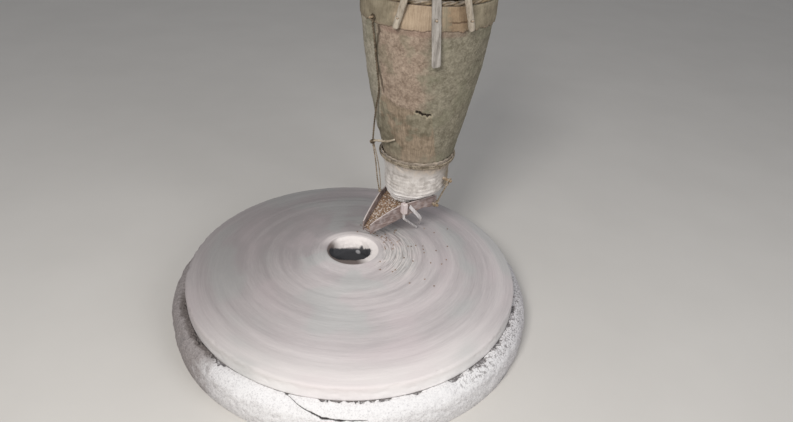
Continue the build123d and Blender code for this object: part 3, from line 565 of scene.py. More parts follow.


# %% [markdown]
# Flour leaves the stones at their edge; on the runner it is painted whiter towards the front, as painted
# light. Rings that the grain has rubbed clean are darker, and painted shade darkens the left and the back
# and takes flour away there. Painting that by hand would need a picture. Here each effect is one mask from 0
# to 1, and the masks add up.

# %% Runner stone: where flour lies, with painted light and shade
WORN_RINGS = [(0.243, 0.001, 0.012, 0.26), (0.196, 0.001, 0.009, 0.26), (0.345, 0.004, 0.034, 0.22),
              (0.130, 0.001, 0.010, 0.12)]  # radius, half widths of core and whole, strength
FLOUR_RINGS = [(0.092, 0.004, 0.026, 0.16), (0.074, 0.002, 0.012, 0.12)]

stone = RoundLook("runner_sandstone")
radius, east, north, level = stone.parts()
smear = stone.smeared(30, 0.7, 5.0, 0.6)
fine_smear = stone.smeared(210, 2.2, 5.0, 0.7)
brushed = stone.smeared(260, 7, 5.0, 0.72)


def rings(rows):
    """1 times its strength on each ring of a list, falling to 0 beside it."""
    return sum((1 - (stone.radius - where).size().step(core, whole)) * strength
               for where, core, whole, strength in rows)


# Flour lies at the edge of the runner; painted light makes it whiter towards the front.
painted_front_light = 1 - north.step(-0.98, -0.42)
edge_flour_and_light = radius.step(0.350, 0.447) * (painted_front_light * 0.92 + 0.08)
# Painted shade at the back and on the left, which also takes flour away there.
painted_shade_far = (north - east * 0.7).step(-0.40, 0.90)
flour_share_and_painted_light = smear.step(0.20, 0.82) * 0.40 + (fine_smear - 0.5) * 0.40 + (brushed - 0.5) * 0.45
flour_share_and_painted_light = flour_share_and_painted_light + 0.15 + rings(FLOUR_RINGS) - rings(WORN_RINGS) * (0.35 + smear * 0.5)
flour_share_and_painted_light = flour_share_and_painted_light + edge_flour_and_light * 0.30 - painted_shade_far * 0.32
print("rings", len(WORN_RINGS), "worn and", len(FLOUR_RINGS), "floury")

# %% Runner stone: tones
tint = stone.smeared(9, 1.3, 2.0, 0.5)
# Flour on the side of the runner, painted whiter towards the front as painted light.
side_flour_and_light = (1 - level.step(0.112, 0.142)) * (0.55 + brushed * 0.7) * (painted_front_light * 0.6 + 0.4)
# Painted shade on the left of the runner, laid on below.
left_part = (east * -1).step(0.10, 0.80) * radius.step(0.075, 0.25)
stone.colour = stone.mix(flour_share_and_painted_light, paint(168, 161, 161), paint(224, 216, 214))
stone.over(edge_flour_and_light * 0.55, paint(231, 225, 221))
stone.over(side_flour_and_light, paint(240, 237, 235))
stone.over(tint.step(0.52, 0.70) * 0.28, paint(206, 190, 192))
stone.over((1 - tint.step(0.36, 0.50)) * 0.38, paint(176, 182, 178))
# Painted shade laid on the back and on the left.
stone.over(painted_shade_far * 0.20, paint(112, 107, 106))
stone.over(left_part * 0.30, paint(112, 105, 102))

# %% [markdown]
# Grain that has missed the eye skips away to the right of it and is drawn out into short brown and
# cream arcs by the turning. They are the same smeared noise again, kept to that one sector.

# %% Runner stone: streaks of grain
sector = (east + north * 0.30).step(0.20, 0.80) * radius.step(0.078, 0.090)
sector = sector * (1 - radius.step(0.140, 0.215))
streak = stone.smeared(400, 2.6, 3.0, 0.7)
stone.over(sector * streak.step(0.48, 0.60) * 0.60, paint(236, 225, 219))
stone.over(sector * (1 - streak.step(0.36, 0.47)) * 0.60, paint(130, 114, 106))

# %% [markdown]
# The eye flares at its mouth. The flare is pale to the right and behind and dark brown on the left and in
# front, and the hole below is in deep shade under the shoe. The lamps here are too even to leave it that
# dark, so the shade is painted, with a ragged edge, a small notch and one floury spot.

# %% Runner stone: the mouth of the eye
NOTCH, FLOURY_SPOT = (0.0270, 0.0500, 0.1655), (0.0155, 0.0540, 0.150)


def away_from(spot):
    """Distance from a spot in the mouth of the eye."""
    return stone.node("ShaderNodeVectorMath", {"operation": "DISTANCE"},
                      {0: stone.place, 1: spot}, "Value")


far_flour = (1 - radius.step(0.084, 0.096)) * north.step(0.10, 0.75) * radius.step(0.069, 0.073)
stone.over(far_flour * 0.75, paint(231, 222, 219))
# The flare: pale to the right and behind, dark brown on the left and in front.
flare = (1 - radius.step(0.068, 0.0725)) * level.step(0.160, 0.166)
right_or_behind = (east * 0.9 + north * 0.75).step(-0.60, 0.15)
stone.over(flare, stone.mix(right_or_behind, paint(112, 101, 97), paint(238, 230, 226)))
ragged = level + radius * north * 0.72 + (stone.noise(120, 3.0) - 0.5) * 0.008
in_eye = (1 - radius.step(0.0640, 0.0690)) * (1 - ragged.step(0.1960, 0.2020))
stone.over(in_eye * (1 - level.step(0.1860, 0.1910)), paint(76, 76, 79))
notch = away_from(NOTCH) - (streak - 0.5) * 0.01
stone.over(1 - notch.step(0.005, 0.0100), paint(84, 82, 84))
stone.over((1 - away_from(FLOURY_SPOT).step(0.004, 0.0095)) * 0.8, paint(206, 204, 206))

# %% Runner stone: finish
grit = stone.noise(700, 3.0, 0.7)
runner_look = stone.done(0.86, [(smear, 0.0006), (brushed, 0.0006), (grit, 0.0004)],
                         Specular_IOR_Level=0.22)
runner_stone = add_mesh("runner_stone_worn", runner_points, runner_faces, runner_look, "runner",
                        "runner_stone")
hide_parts("runner_stone")

# %% [markdown]
# ## The bed stone
# The lower stone never moves. It is a rougher block, broken along its top edge, and flour has
# caked on the narrow ledge that shows round the runner. The cake hides the thin gap between the
# stones except where bits have fallen out, and one long crack runs out across the ledge.
# The crack and the fallen bits are written as bearings round the stone, in degrees, so the mesh
# and the colour can use the same numbers.

# %% Bed stone: fallen bits of the cake
FALLEN_BITS = [(-97.4, 1.5), (-93.6, 1.9), (-90.2, 1.0), (-86.8, 1.7), (-83.6, 1.0), (-80.0, 2.2),
               (-69.8, 1.6), (-56.6, 3.2), (-46.4, 4.2), (-35.4, 3.4), (-25.0, 2.0), (-16.0, 2.6),
               (-146.0, 3.0), (-134.0, 3.4), (-163.0, 1.6)]  # bearing and half width
CAKE_IN, CAKE_OUT, GAP_R = 0.4505, 0.475, 0.4500


def missing(degrees, r):
    """How far a bit of the cake has fallen out: 1 in a hole, 0 away from it."""
    a = math.radians(degrees)
    x, y = r * math.cos(a), r * math.sin(a)
    rough = noise.noise((x * 120, y * 120, 2.0)) + 0.7 * noise.noise((x * 270, y * 270, 4.0))
    gone = 0.0
    for middle, half in FALLEN_BITS:
        away = abs(degrees - middle) / half
        if away < 1.6:
            depth = (r - GAP_R) / (0.0030 + 0.0023 * half ** 0.9)
            hole = 1.05 - away * away * 0.8 - depth * depth * 0.7 + rough * 0.95
            gone = max(gone, ease(hole, 0.25, 0.55))
    return gone


print("fallen bits", len(FALLEN_BITS))

# %% Bed stone: profile
LEDGE_OUT, SIDE_TOP = 0.4640, 0.0560
bush_edge = BUSH_R + 0.0004
bed_profile = [(bush_edge, BED_H)] + [(r, BED_H) for r in (0.15, 0.3, 0.40, 0.44, CAKE_IN - 0.0002)]
bed_profile += [(r, BED_H) for r in np.arange(CAKE_IN, LEDGE_OUT, 0.0015)]
bed_profile += [(LEDGE_OUT + 0.0270 * math.sin(t), SIDE_TOP + 0.0340 * math.cos(t) ** 0.9)
                for t in np.linspace(0.05, math.pi / 2 - 0.03, 21)]
bed_profile += [(0.4911 + 0.0030 * math.sin(math.pi * t) - 0.0045 * t, 0.054 * (1 - t))
                for t in np.linspace(0, 1, 20)]
bed_profile += [(0.478, 0.0), (0.3, 0.0), (bush_edge, 0.0)]
bed_run = np.cumsum([0] + [math.dist(a, b) for a, b in zip(bed_profile, bed_profile[1:])])
print("way round the profile", round(float(bed_run[-1]), 3), "m")

# %% Bed stone: crack
CRACK = [(-108.8, 0.4505), (-107.2, 0.4548), (-105.0, 0.4651), (-102.8, 0.4732), (-101.2, 0.4786),
         (-99.2, 0.4833), (-97.2, 0.4864), (-93.2, 0.4877), (-91.0, 0.4883),
         (-85.0, 0.4891)]  # bearing and radius
FAR_FROM_CRACK = 0.05
ledge_rows = [i for i, (r, z) in enumerate(bed_profile) if r >= CAKE_IN and z > 0.054]
ledge_radii = [bed_profile[i][0] for i in ledge_rows]


def crack_away(row, degrees):
    """Distance along the skin from the crack that runs out over the shoulder."""
    if not CRACK[0][0] < degrees < CRACK[-1][0] or row not in ledge_rows:
        return FAR_FROM_CRACK
    crack_radius = np.interp(degrees, *zip(*CRACK))
    return float(bed_run[row] - np.interp(crack_radius, ledge_radii, bed_run[ledge_rows]))


# %% [markdown]
# A cube of stone with a displacement would move its foot and its middle too. Here every point is
# moved by a function of its own place, which leaves alone what rests on the floor or fits the bush.

# %% Bed stone: mesh
def break_bed(r, z, a, row):
    """Flour cake on the ledge, a worn edge and a rough side; foot and middle stay put."""
    x, y = r * math.cos(a), r * math.sin(a)
    degrees = math.degrees(math.atan2(y, x))
    if r < 0.4502 or z < 0.0005:
        return r, z
    top = ease(z, 0.070, 0.088)
    grain = bumpy((x, y, z), 0.010, 4)
    cake = (0.0068 + 0.0020 * bumpy((x, y, 0.0), 0.06, 3)) * (1 - ease(r, 0.456, 0.484)) * top
    cake *= (1 - missing(degrees, r)) * (1.0 if r >= CAKE_IN - 0.0001 else 0.0)
    crack = 1 - ease(abs(crack_away(row, degrees)), 0.0010, 0.0032)
    hollow = max(0.0, bumpy((x, y, z * 0.7), 0.09, 3) + 0.05) * 0.007 * ease(r, 0.472, 0.489)
    push = grain * 0.0013 + bumpy((x, y, z), 0.035, 3) * 0.0018
    side = 1 - top * (1 - ease(r, 0.470, 0.489))
    foot = ease(z, 0.0, 0.02)
    return (r + (push * foot - hollow - 0.0012) * side - crack * 0.005 * side,
            z + cake + grain * 0.0007 * top - crack * 0.005 * (1 - side) - hollow * 0.6 * top)


def fallen_at(x, y):
    """The share of fallen cake at a point of the ledge, for the colour."""
    r = math.hypot(x, y)
    return missing(math.degrees(math.atan2(y, x)), r) * (GAP_R < r < CAKE_OUT)


BED_COLUMNS = 1080
bed_points, bed_faces = revolved(bed_profile, BED_COLUMNS, break_bed)
fallen = [fallen_at(x, y) for x, y, z in bed_points]
crack_values = [crack_away(row, signed(360 * c / BED_COLUMNS))
                for row in range(len(bed_profile)) for c in range(BED_COLUMNS)]
print("points in fallen bits", sum(value > 0.5 for value in fallen))

# %% [markdown]
# Two tones of crust and two of bare stone give four colours, and the dusting decides between them:
# most at the front, where flour falls, and on what looks up. Short hatched strokes break it up,
# as old chisel marks do.

# %% Bed stone: crust and bare stone
bed = RoundLook("bed_stone_under_flour")
radius, east, north, level = bed.parts()
bearing = bed.bearing()
lumps = bed.noise(38, 5.0, 0.6)
speckle = bed.noise(230, 4.0, 0.75)
flecks = bed.noise(115, 4.0, 0.8)
hatch = bed.wrapped(110, 30, 4.0, 0.65, 0.4)
front = 1 - north.step(-1.05, -0.20)
dusting = bed.facing(UP).step(-0.3, 0.9) * 0.20 + front * 0.62
dusting = dusting + (lumps - 0.5) * 0.5 + (hatch - 0.5) * 0.7 + 0.24
crust = bed.mix(speckle.step(0.30, 0.55), paint(206, 203, 203), paint(229, 227, 226))
bare = bed.mix(speckle.step(0.38, 0.62), paint(122, 116, 118), paint(204, 199, 201))
bed.colour = bed.mix(dusting, bare, crust)
pit_holes = (1 - flecks.step(0.33, 0.41)) * (1 - front * 0.85)
bed.over(pit_holes * 0.85, paint(96, 91, 93))
# Darker towards the left.
bed.over((north * 0.3 - east).step(0.10, 0.65) * 0.30, paint(150, 145, 144))

# %% [markdown]
# The mesh has the crack and the fallen bits as shapes. It also carries both as a number at each point, and
# the material reads those numbers, so the painted shade always lies exactly in the hollow.

# %% Bed stone: painted shade in the crack and the fallen bits, and a darker left and back
def carry(piece, name, values):
    """Store a number at each point of a piece, for its material to read."""
    layer = piece.data.attributes.new(name, "FLOAT", "POINT")
    layer.data.foreach_set("value", np.array(values, np.float32))


# Painted shade in the crack, wider where it opens.
wider = bearing.step(-104, -98) * 0.0014 * (1 - bearing.step(-92, -85))
off_crack = (bed.value("crack") + (lumps - 0.5) * 0.004).size() - wider
bed.over(1 - off_crack.step(0.0002, 0.0018), paint(64, 60, 60))
# Painted shade in the holes where bits of the cake have fallen out.
gone = bed.value("fallen")
bed.over(gone.step(0.2, 0.8) * (1 - flecks.step(0.50, 0.60) * 0.8), paint(124, 120, 121))
# Darker stone on the left and at the back.
darker_left_and_back = (north * 0.6 - east * 0.8 + (lumps - 0.5) * 0.5).step(0.06, 0.28) * (1 - gone)
stone_share = speckle.step(0.32, 0.62) * 0.5 + hatch.step(0.3, 0.7) * 0.5
bed.over(darker_left_and_back * 0.8, bed.mix(stone_share, paint(98, 90, 88), paint(146, 137, 134)))

# %% [markdown]
# On the left the ledge is darker, and broken where bits of its cake have fallen out. On the right the cake
# is thin, and grey stone shows through it in flecks.

# %% Bed stone: ledge and finish
# A darker patch on the ledge to the left.
left_ledge = (1 - (radius + (lumps - 0.5) * 0.05).step(0.460, 0.474)) * bearing.step(-174, -166)
left_ledge = left_ledge * (1 - (bearing + (flecks - 0.5) * 12).step(-139, -133))
dark_left_ledge = bed.mix(speckle.step(0.35, 0.65), paint(68, 61, 58), paint(112, 104, 100))
bed.over(left_ledge * 0.8, dark_left_ledge)
right_ledge = (1 - radius.step(0.476, 0.486)) * bearing.step(-62, -50) * (1 - bearing.step(-8, 4))
bed.over(right_ledge * (1 - flecks.step(0.42, 0.49)) * 0.75, paint(122, 117, 116))
# Painted shade on the bed under the runner.
painted_shade_under_runner = 1 - radius.step(0.4470, 0.4490)
bed.over(painted_shade_under_runner, paint(150, 144, 142))
bed_look = bed.done(0.92, [(lumps, 0.002), (speckle, 0.0012)], Specular_IOR_Level=0.2)
bed_stone = add_mesh("bed_stone_rough", bed_points, bed_faces, bed_look, "stand", "bed_stone")
carry(bed_stone, "fallen", fallen)
carry(bed_stone, "crack", crack_values)
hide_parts("bed_stone")

# %% [markdown]
# ## Wood and iron
# Old mill wood is dull, grey at the edges and drawn out along its grain. One recipe gives all of
# it: noise stretched along the length of the piece, darker in the pores, and a little flour where
# the surface looks up. Each piece tells the recipe which way its grain runs.

# %% Wood
def along_grain(look, grain, stretch):
    """Places measured along and across the grain, those along it stretched."""
    grain = Vector(grain)
    side = grain.orthogonal().normalized()
    return look.join(look.along(grain) * stretch, look.along(side), look.along(grain.cross(side)))


def wood_look(name, grain, dark, light, floury=0.25, coarse=1.0):
    """Wood whose fibres run along grain."""
    look = Look(name)
    at = along_grain(look, Vector(grain).normalized(), 0.09)
    streaks = look.noise(170 / coarse, 5.0, 0.62, at, 0.4)
    fibres = look.noise(700 / coarse, 3.0, 0.7, at)
    patches = look.noise(22, 4.0)
    look.colour = look.mix(streaks.step(0.30, 0.68), dark, light)
    pores = 1 - fibres.step(0.34, 0.46)
    look.over(pores * 0.45, tuple(v * 0.45 for v in dark[:3]) + (1.0,))
    dust = (look.facing(UP).step(0.1, 0.9) + 0.35) * patches.step(0.38, 0.66) * floury
    look.over(dust, paint(226, 220, 213))
    return look.done(0.78, [(streaks, 0.0009 * coarse), (fibres, 0.0004 * coarse)],
                     Specular_IOR_Level=0.3)


# %% [markdown]
# A board sawn by hand and used for years has no sharp edge left. A bevel gives an even chamfer,
# which looks machined. Here the modelled board is copied, its skin is rebuilt in small even
# squares, and each point is then pushed in or out: fibres stand proud along the grain, and edges,
# which the rebuilding has already rounded, are worn a little more.

# %% Rebuilding the skin of a modelled piece
def even_skin(node, square, rounds):
    """A modelled piece's mesh in even squares, with its edges rounded by smoothing."""
    source = bmesh.new()
    source.from_mesh(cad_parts[node].data)
    bmesh.ops.remove_doubles(source, verts=source.verts, dist=2e-6)
    mesh = bpy.data.meshes.new(node + "_skin")
    source.to_mesh(mesh)
    source.free()
    raw = bpy.data.objects.new(node + "_skin", mesh)
    bpy.context.scene.collection.objects.link(raw)
    rebuild = raw.modifiers.new("even skin", "REMESH")
    rebuild.mode, rebuild.voxel_size = "VOXEL", square
    soften = raw.modifiers.new("round edges", "SMOOTH")
    soften.factor, soften.iterations = 0.5, rounds
    made = bpy.data.meshes.new_from_object(raw.evaluated_get(bpy.context.evaluated_depsgraph_get()))
    bpy.data.objects.remove(raw)
    return made


# %% Wearing it down
FIBRE_STRETCH, FIBRE_SQUARES = 0.88, 4.5


def worn_copy(node, square, material, body, grain, depth, lump=0.02, rounds=3, extra=None):
    """A copy of a modelled piece with a fibrous skin, which replaces it."""
    made = even_skin(node, square, rounds)
    grain = Vector(grain).normalized()
    normals = [v.normal.copy() for v in made.vertices]
    for vertex, normal in zip(made.vertices, normals):
        p = vertex.co
        q = p - grain * (p.dot(grain) * FIBRE_STRETCH)
        push = noise.noise(q * (1 / (FIBRE_SQUARES * square))) * depth
        push += (bumpy(p, lump, 3) - 0.3) * depth
        if extra:
            push += extra(p)
        vertex.co = p + normal * push
    made.name = node + "_worn"
    made.materials.clear()
    made.materials.append(material)
    made.polygons.foreach_set("use_smooth", [True] * len(made.polygons))
    made.update()
    piece = bpy.data.objects.new(node + "_worn", made)
    bpy.context.scene.collection.objects.link(piece)
    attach(piece, body)
    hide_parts(node)
    print(piece.name, len(made.polygons), "faces")


# %% [markdown]
# ## The shoe
# The shoe is a small trough of dark boards with pale, rubbed top edges. Its floor slopes to an
# open tip over the eye, and its sides flare a little more on the left than on the right. It hangs
# from a round pin at the back. Its pieces are placed by how far they lie behind the tip (s) and
# to the left (w), so that one pair of directions serves all of them.

# %% Shoe: directions
YAW, SLOPE = math.radians(46.0), math.radians(14.0)
LEFT_FLARE, RIGHT_FLARE = 18.0, 17.5
ALONG = Vector((math.cos(YAW), math.sin(YAW), 0))
ACROSS = Vector((-math.sin(YAW), math.cos(YAW), 0))
TIP = Vector((0.036, 0.030, 0.0))
TIP_HALF, BOARD_T = 0.015, 0.0045
SHOE_Z, SIDE_TOP_Z = 0.241, 0.302
PIN_S, PIN_Z = 0.196, 0.27787


def shoe_point(s, w, z):
    """A point s behind the shoe's tip, w to its left, at height z."""
    return TIP + ALONG * s + ACROSS * w + Vector((0, 0, z))


def floor_top(s):
    """Height of the shoe's floor at a distance behind the tip."""
    return SHOE_Z + s * math.tan(SLOPE)


def turned(degrees):
    """A level direction, turned away from the shoe's own."""
    a = YAW + math.radians(degrees)
    return Vector((math.cos(a), math.sin(a), 0))


print("shoe opens by", LEFT_FLARE + RIGHT_FLARE, "degrees; its floor at the pin is",
      round(floor_top(PIN_S), 3), "m high")


# %% Shoe: boards
def rubbed(look_name, grain, edge_share):
    """Shoe board: dark wood whose upper edge is rubbed pale."""
    look = Look(look_name)
    at = along_grain(look, grain, 0.1)
    streaks = look.noise(240, 5.0, 0.62, at, 0.3)
    fibres = look.noise(800, 3.0, 0.7, at)
    spots = look.noise(60, 5.0, 0.6)
    look.colour = look.mix(streaks.step(0.3, 0.7), paint(110, 94, 89), paint(154, 136, 130))
    look.over((1 - fibres.step(0.32, 0.46)) * 0.5, paint(52, 40, 34))
    look.over(spots.step(0.40, 0.70) * 0.5, paint(186, 177, 175))
    look.over(look.facing(UP).step(0.25, 0.8) * 0.85 * edge_share, paint(200, 189, 185))
    return look.done(0.8, [(streaks, 0.0007), (fibres, 0.0004)], Specular_IOR_Level=0.3)


for node, place, square, grain, edge_share, depth in (
        ("shoe_left_board", "left", 0.0013, turned(LEFT_FLARE), 1.0, 0.00035),
        ("shoe_right_board", "right", 0.0013, turned(-RIGHT_FLARE), 1.0, 0.00035),
        ("shoe_floor", "floor", 0.0019, ALONG, 0.3, 0.00035),
        ("shoe_back_board", "back", 0.0012, ACROSS, 0.8, 0.0003)):
    board_look = rubbed("shoe_board_" + place, grain, edge_share)
    worn_copy(node, square, board_look, "shoe", grain, depth)


# %% [markdown]
# The clappers are a block on the shoe's right side with a stick and a paddle that reach down to
# the stone. They are of pale wood, rubbed and floury, so they have looks of their own.

# %% Clappers
STICK_WAY = (0.3, 0.4, -1)
pale_wood = wood_look("clapper_limewood", UP, paint(176, 158, 155), paint(214, 200, 199), 0.6)
paddle_wood = wood_look("paddle_limewood", STICK_WAY, paint(166, 160, 160), paint(216, 212, 212), 0.7)
for node, square, look, grain, depth, rounds in (
        ("clapper_block", 0.0011, pale_wood, UP, 0.0004, 3),
        ("clapper_stick", 0.0009, paddle_wood, STICK_WAY, 0.0003, 2),
        ("clapper_paddle", 0.0010, paddle_wood, STICK_WAY, 0.0003, 3)):
    worn_copy(node, square, look, "shoe", grain, depth, rounds=rounds)


# %% [markdown]
# Pegs and pins are whittled from a stick, so no two facets are alike. They are small, and less
# smoothing keeps them round instead of thin.

# %% Pegs and pins
BACKWARDS, SIDEWAYS = (0, 1, 0), (1, 0, 0)
peg_wood = wood_look("whittled_peg", (0.7, 0.7, 0.1), paint(116, 96, 74), paint(160, 138, 110), 0.3)
slat_peg = wood_look("weathered_peg", BACKWARDS, paint(110, 102, 92), paint(142, 134, 122), 0.3)
for node, square, look, body, grain, depth, rounds in (
        ("shoe_pin", 0.0013, peg_wood, "shoe", ACROSS, 0.0002, 2),
        ("neck_pegs", 0.0013, peg_wood, "stand", ACROSS, 0.0002, 2),
        ("stick_peg", 0.0015, peg_wood, "stand", SIDEWAYS, 0.0002, 2),
        ("slat_pins", 0.0011, slat_peg, "stand", BACKWARDS, 0.0002, 2),
        ("rim_pegs", 0.0010, peg_wood, "stand", BACKWARDS, 0.0002, 2),
        ("tenon_wedge", 0.0014, peg_wood, "stand", BACKWARDS, 0.0003, 3)):
    worn_copy(node, square, look, body, grain, depth, rounds=rounds)


# %% [markdown]
# ## Hangers, arm and post
# The thin slats and sticks that show above the rim have weathered to a silvery grey. The arm is
# a hewn beam with flat facets, and the post a barked log, so their lumps are larger.

# %% Hangers
slat_wood = wood_look("weathered_lath", UP, paint(110, 104, 97), paint(160, 154, 147), 0.2)
stick_wood = wood_look("peeled_stick", (0, -0.2, 1), paint(132, 120, 104), paint(180, 169, 152), 0.2)
for node, look, grain, depth in (("front_slat", slat_wood, (-0.0785, 0, 0.997), 0.0005),
                                 ("rear_slat", slat_wood, UP, 0.0005),
                                 ("left_stick", stick_wood, (0.25, -0.25, 0.94), 0.0006),
                                 ("right_stick", stick_wood, (-0.25, -0.25, 0.94), 0.0006)):
    worn_copy(node, 0.0015, look, "stand", grain, depth)


# %% Arm and post
POST_X, POST_Y = 0.172, 0.5185
arm_wood = wood_look("hewn_beam", BACKWARDS, paint(88, 70, 54), paint(132, 110, 88), 0.15, 2.4)
post_wood = wood_look("barked_log", UP, paint(92, 76, 60), paint(140, 120, 98), 0.12, 2.6)


def hewn(point):
    """Shallow flats left by an adze."""
    return (abs(noise.noise((point.x * 9, point.y * 16, point.z * 9))) - 0.4) * 0.003


def knotty(point):
    """Shrinkage splits and knots of a round log."""
    a = math.atan2(point.y - POST_Y, point.x - POST_X)
    split = max(0.0, round_noise(a, 5, point.z * 1.6) - 0.32) * 0.02
    return -split + bumpy(point, 0.12, 2) * 0.0015 - 0.0012


worn_copy("arm", 0.0039, arm_wood, "stand", BACKWARDS, 0.0008, 0.05, extra=hewn)
worn_copy("post", 0.0052, post_wood, "stand", UP, 0.0008, 0.06, extra=knotty)

# %% [markdown]
# ## Iron and the wooden bush
# Under the eye a flat iron, the rynd, carries the runner on the square end of the spindle. Their
# shape is right as it is modelled. They only need dull forged iron, brown where rust has taken,
# and a small bevel to catch the light.

# %% Iron and bush
iron = Look("forged_iron")
rust = iron.noise(60, 6.0, 0.65)
scale_marks = iron.noise(260, 4.0, 0.6)
iron.colour = iron.mix(rust.step(0.42, 0.64), paint(74, 70, 68), paint(112, 78, 56))
iron_look = iron.done(rust * 0.3 + 0.45, [(scale_marks, 0.0006), (rust, 0.0008)], Metallic=0.55)
bush_look = wood_look("oiled_bush", UP, paint(62, 48, 36), paint(104, 84, 64), 0.35, 1.6)
for node, look in (("rynd", iron_look), ("spindle", iron_look), ("bed_bush", bush_look)):
    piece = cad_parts[node]
    piece.data.materials.clear()
    piece.data.materials.append(look)
    chamfer = piece.modifiers.new("soft edge", "BEVEL")
    chamfer.width, chamfer.segments, chamfer.limit_method = 0.0008, 2, "ANGLE"


# %% [markdown]
# ## The hopper
# The hopper is a basket of split withies round upright stakes, daubed with mud and dung inside and
# out. Outside, the last coat stops in a torn edge, and below it the stakes show through as
# upright ridges. Inside, the weave shows plainly. One skin can carry all of that: the outer wall
# rises and falls with the coat, and the inner wall with the weave. The share of coat at each point is
# stored in the mesh, so that the colour changes exactly where the height does.

# %% Hopper: wall
HOPPER = Vector((0.172, 0.147, 0.0))
HOPPER_TOP, HOPPER_FOOT, BAND_FOOT, WALL = 0.866, 0.336, 0.808, 0.011
BAND_FROM, BAND_FROM_R, BAND_STEP = 0.785, 0.161, 0.0038
wall_curve = np.polyfit([HOPPER_FOOT, 0.440, 0.589, BAND_FROM], [0.074, 0.099, 0.1319, BAND_FROM_R], 3)


def wall_radius(z):
    """Outer radius of the hopper at a height."""
    if z < BAND_FROM:
        return float(np.polyval(wall_curve, z))
    return BAND_FROM_R + BAND_STEP * ease(z, BAND_FROM, BAND_FOOT)


def round_hopper(degrees, r, z):
    """A point at a bearing and a radius from the hopper's axis, at height z."""
    a = math.radians(degrees)
    return Vector((HOPPER.x + r * math.cos(a), HOPPER.y + r * math.sin(a), z))


print("hopper radius from", round(wall_radius(HOPPER_FOOT), 3), "to", round(wall_radius(HOPPER_TOP), 3), "m")

# %% [markdown]
# Three things break the coat: its torn lower edge, an older patch that ends in a wavy step on the
# left of the front, and a slot under the coat at the front. Each is a line in bearing and height
# with a little noise, so that it can be moved by hand.

# %% Hopper: edges of the mud
TORN = [(-180, 0.500), (-165, 0.505), (-152, 0.545), (-145, 0.612), (-138.5, 0.624), (-119, 0.605),
        (-99, 0.599), (-83, 0.586), (-79, 0.552), (-71, 0.485), (-63, 0.436), (-50, 0.405),
        (-20, 0.400), (10, 0.430), (40, 0.520), (75, 0.570), (120, 0.560),
        (180, 0.500)]  # bearing and height of the coat's edge
STEP = [(0.600, -140.5), (0.630, -139.0), (0.669, -140.5), (0.689, -143.0), (0.711, -146.0),
        (0.742, -145.2), (0.766, -142.6), (0.800, -140.0)]  # height and bearing of the older patch's edge


def torn_line(degrees):
    """Height at which the last coat of mud ends, round the hopper."""
    d = signed(degrees)
    a = math.radians(d)
    return float(np.interp(d, *zip(*TORN))) + 0.005 * round_noise(a, 9, 0) + 0.004 * round_noise(a, 26, 2)


def patched(degrees, z):
    """How thick the older patch of mud left of the wavy step is, and how near the step is."""
    step_at = float(np.interp(z, *zip(*STEP)))
    away = signed(signed(degrees) - step_at + 1.2 * noise.noise((z * 60, 0, 7)))
    thick = (1 - ease(away, -0.5, 1.6)) * ease(away, -75, -45) * ease(z, 0.575, 0.610)
    return thick, math.exp(-((away - 1.2) / 1.5) ** 2)


def crevice(degrees, z):
    """1 in the slot under the coat at the front, 0 away from it."""
    d = signed(degrees)
    along = (d + 92.5) / 10.5
    middle = 0.5950 - 0.0075 * along + 0.007 * noise.noise((d * 0.22, 0, 0))
    wide = 0.0020 + 0.0045 * abs(noise.noise((d * 0.45, 0, 3)))
    return (1 - ease(abs(along), 0.45, 1.1)) * (1 - ease(abs(z - middle), wide * 0.4, wide + 0.004))


# %% Hopper: outer and inner skin
STAKES, WITHY = 46, 0.009


def outer_skin(degrees, z):
    """How far the outside stands out, with the shares of coat, slot and step line."""
    ridge = abs(math.cos(math.radians(degrees) * STAKES / 2)) ** 1.5
    p = round_hopper(degrees, wall_radius(z), z)
    coat = ease(z, torn_line(degrees) - 0.003, torn_line(degrees) + 0.004)
    pit = crevice(degrees, z)
    thick, step_line = patched(degrees, z)
    push = -0.0042 + coat * 0.0026 + bumpy(p, 0.045, 4) * (0.0011 + 0.0006 * coat)
    push += thick * 0.0022 + bumpy(p, 0.010, 3) * 0.0007
    push += (1 - coat) * (ridge - 0.5) * 0.0010 * (1 - ease(z, 0.60, 0.66)) - pit * 0.007
    push *= ease(z, HOPPER_FOOT, HOPPER_FOOT + 0.02)
    if z > BAND_FOOT - 0.003:
        push = -0.001
    return push, coat, pit, step_line


def inner_skin(degrees, z):
    """The weave: each withy passes in front of one stake and behind the next."""
    turn = 1 if int(z / WITHY) % 2 else -1
    weave = 0.0012 * turn * math.cos(math.radians(degrees) * STAKES)
    return -WALL + weave + 0.0008 * math.sin(z * 2 * math.pi / WITHY), 0.0, 0.0, 0.0


# %% Hopper: mesh
HOPPER_COLUMNS = 276
hopper_profile = [(outer_skin, z) for z in np.arange(HOPPER_FOOT, HOPPER_TOP + 0.001, 0.0034)]
hopper_profile += [(inner_skin, HOPPER_TOP)]
hopper_profile += [(inner_skin, z) for z in np.arange(HOPPER_TOP - 0.004, HOPPER_FOOT, -0.0042)]
hopper_profile += [(inner_skin, HOPPER_FOOT)]
hopper_points, coat_values, pit_values, step_shade_values = [], [], [], []
for skin, z in hopper_profile:
    for c in range(HOPPER_COLUMNS):
        degrees = 360 * c / HOPPER_COLUMNS
        push, coat, pit, step_line = skin(degrees, z)
        hopper_points.append(round_hopper(degrees, wall_radius(z) + push, z))
        coat_values.append(coat)
        pit_values.append(pit)
        step_shade_values.append(step_line * ease(z, 0.615, 0.65))
hopper_faces = ring_quilt(len(hopper_profile), HOPPER_COLUMNS)
print("hopper skin", len(hopper_points), "points")

# %% [markdown]
# Mud dries in blotches with bits of straw in it. The coat is brown on the left half of the front,
# greener to the right of it, paler and greyer on the left, and reddish under the band.

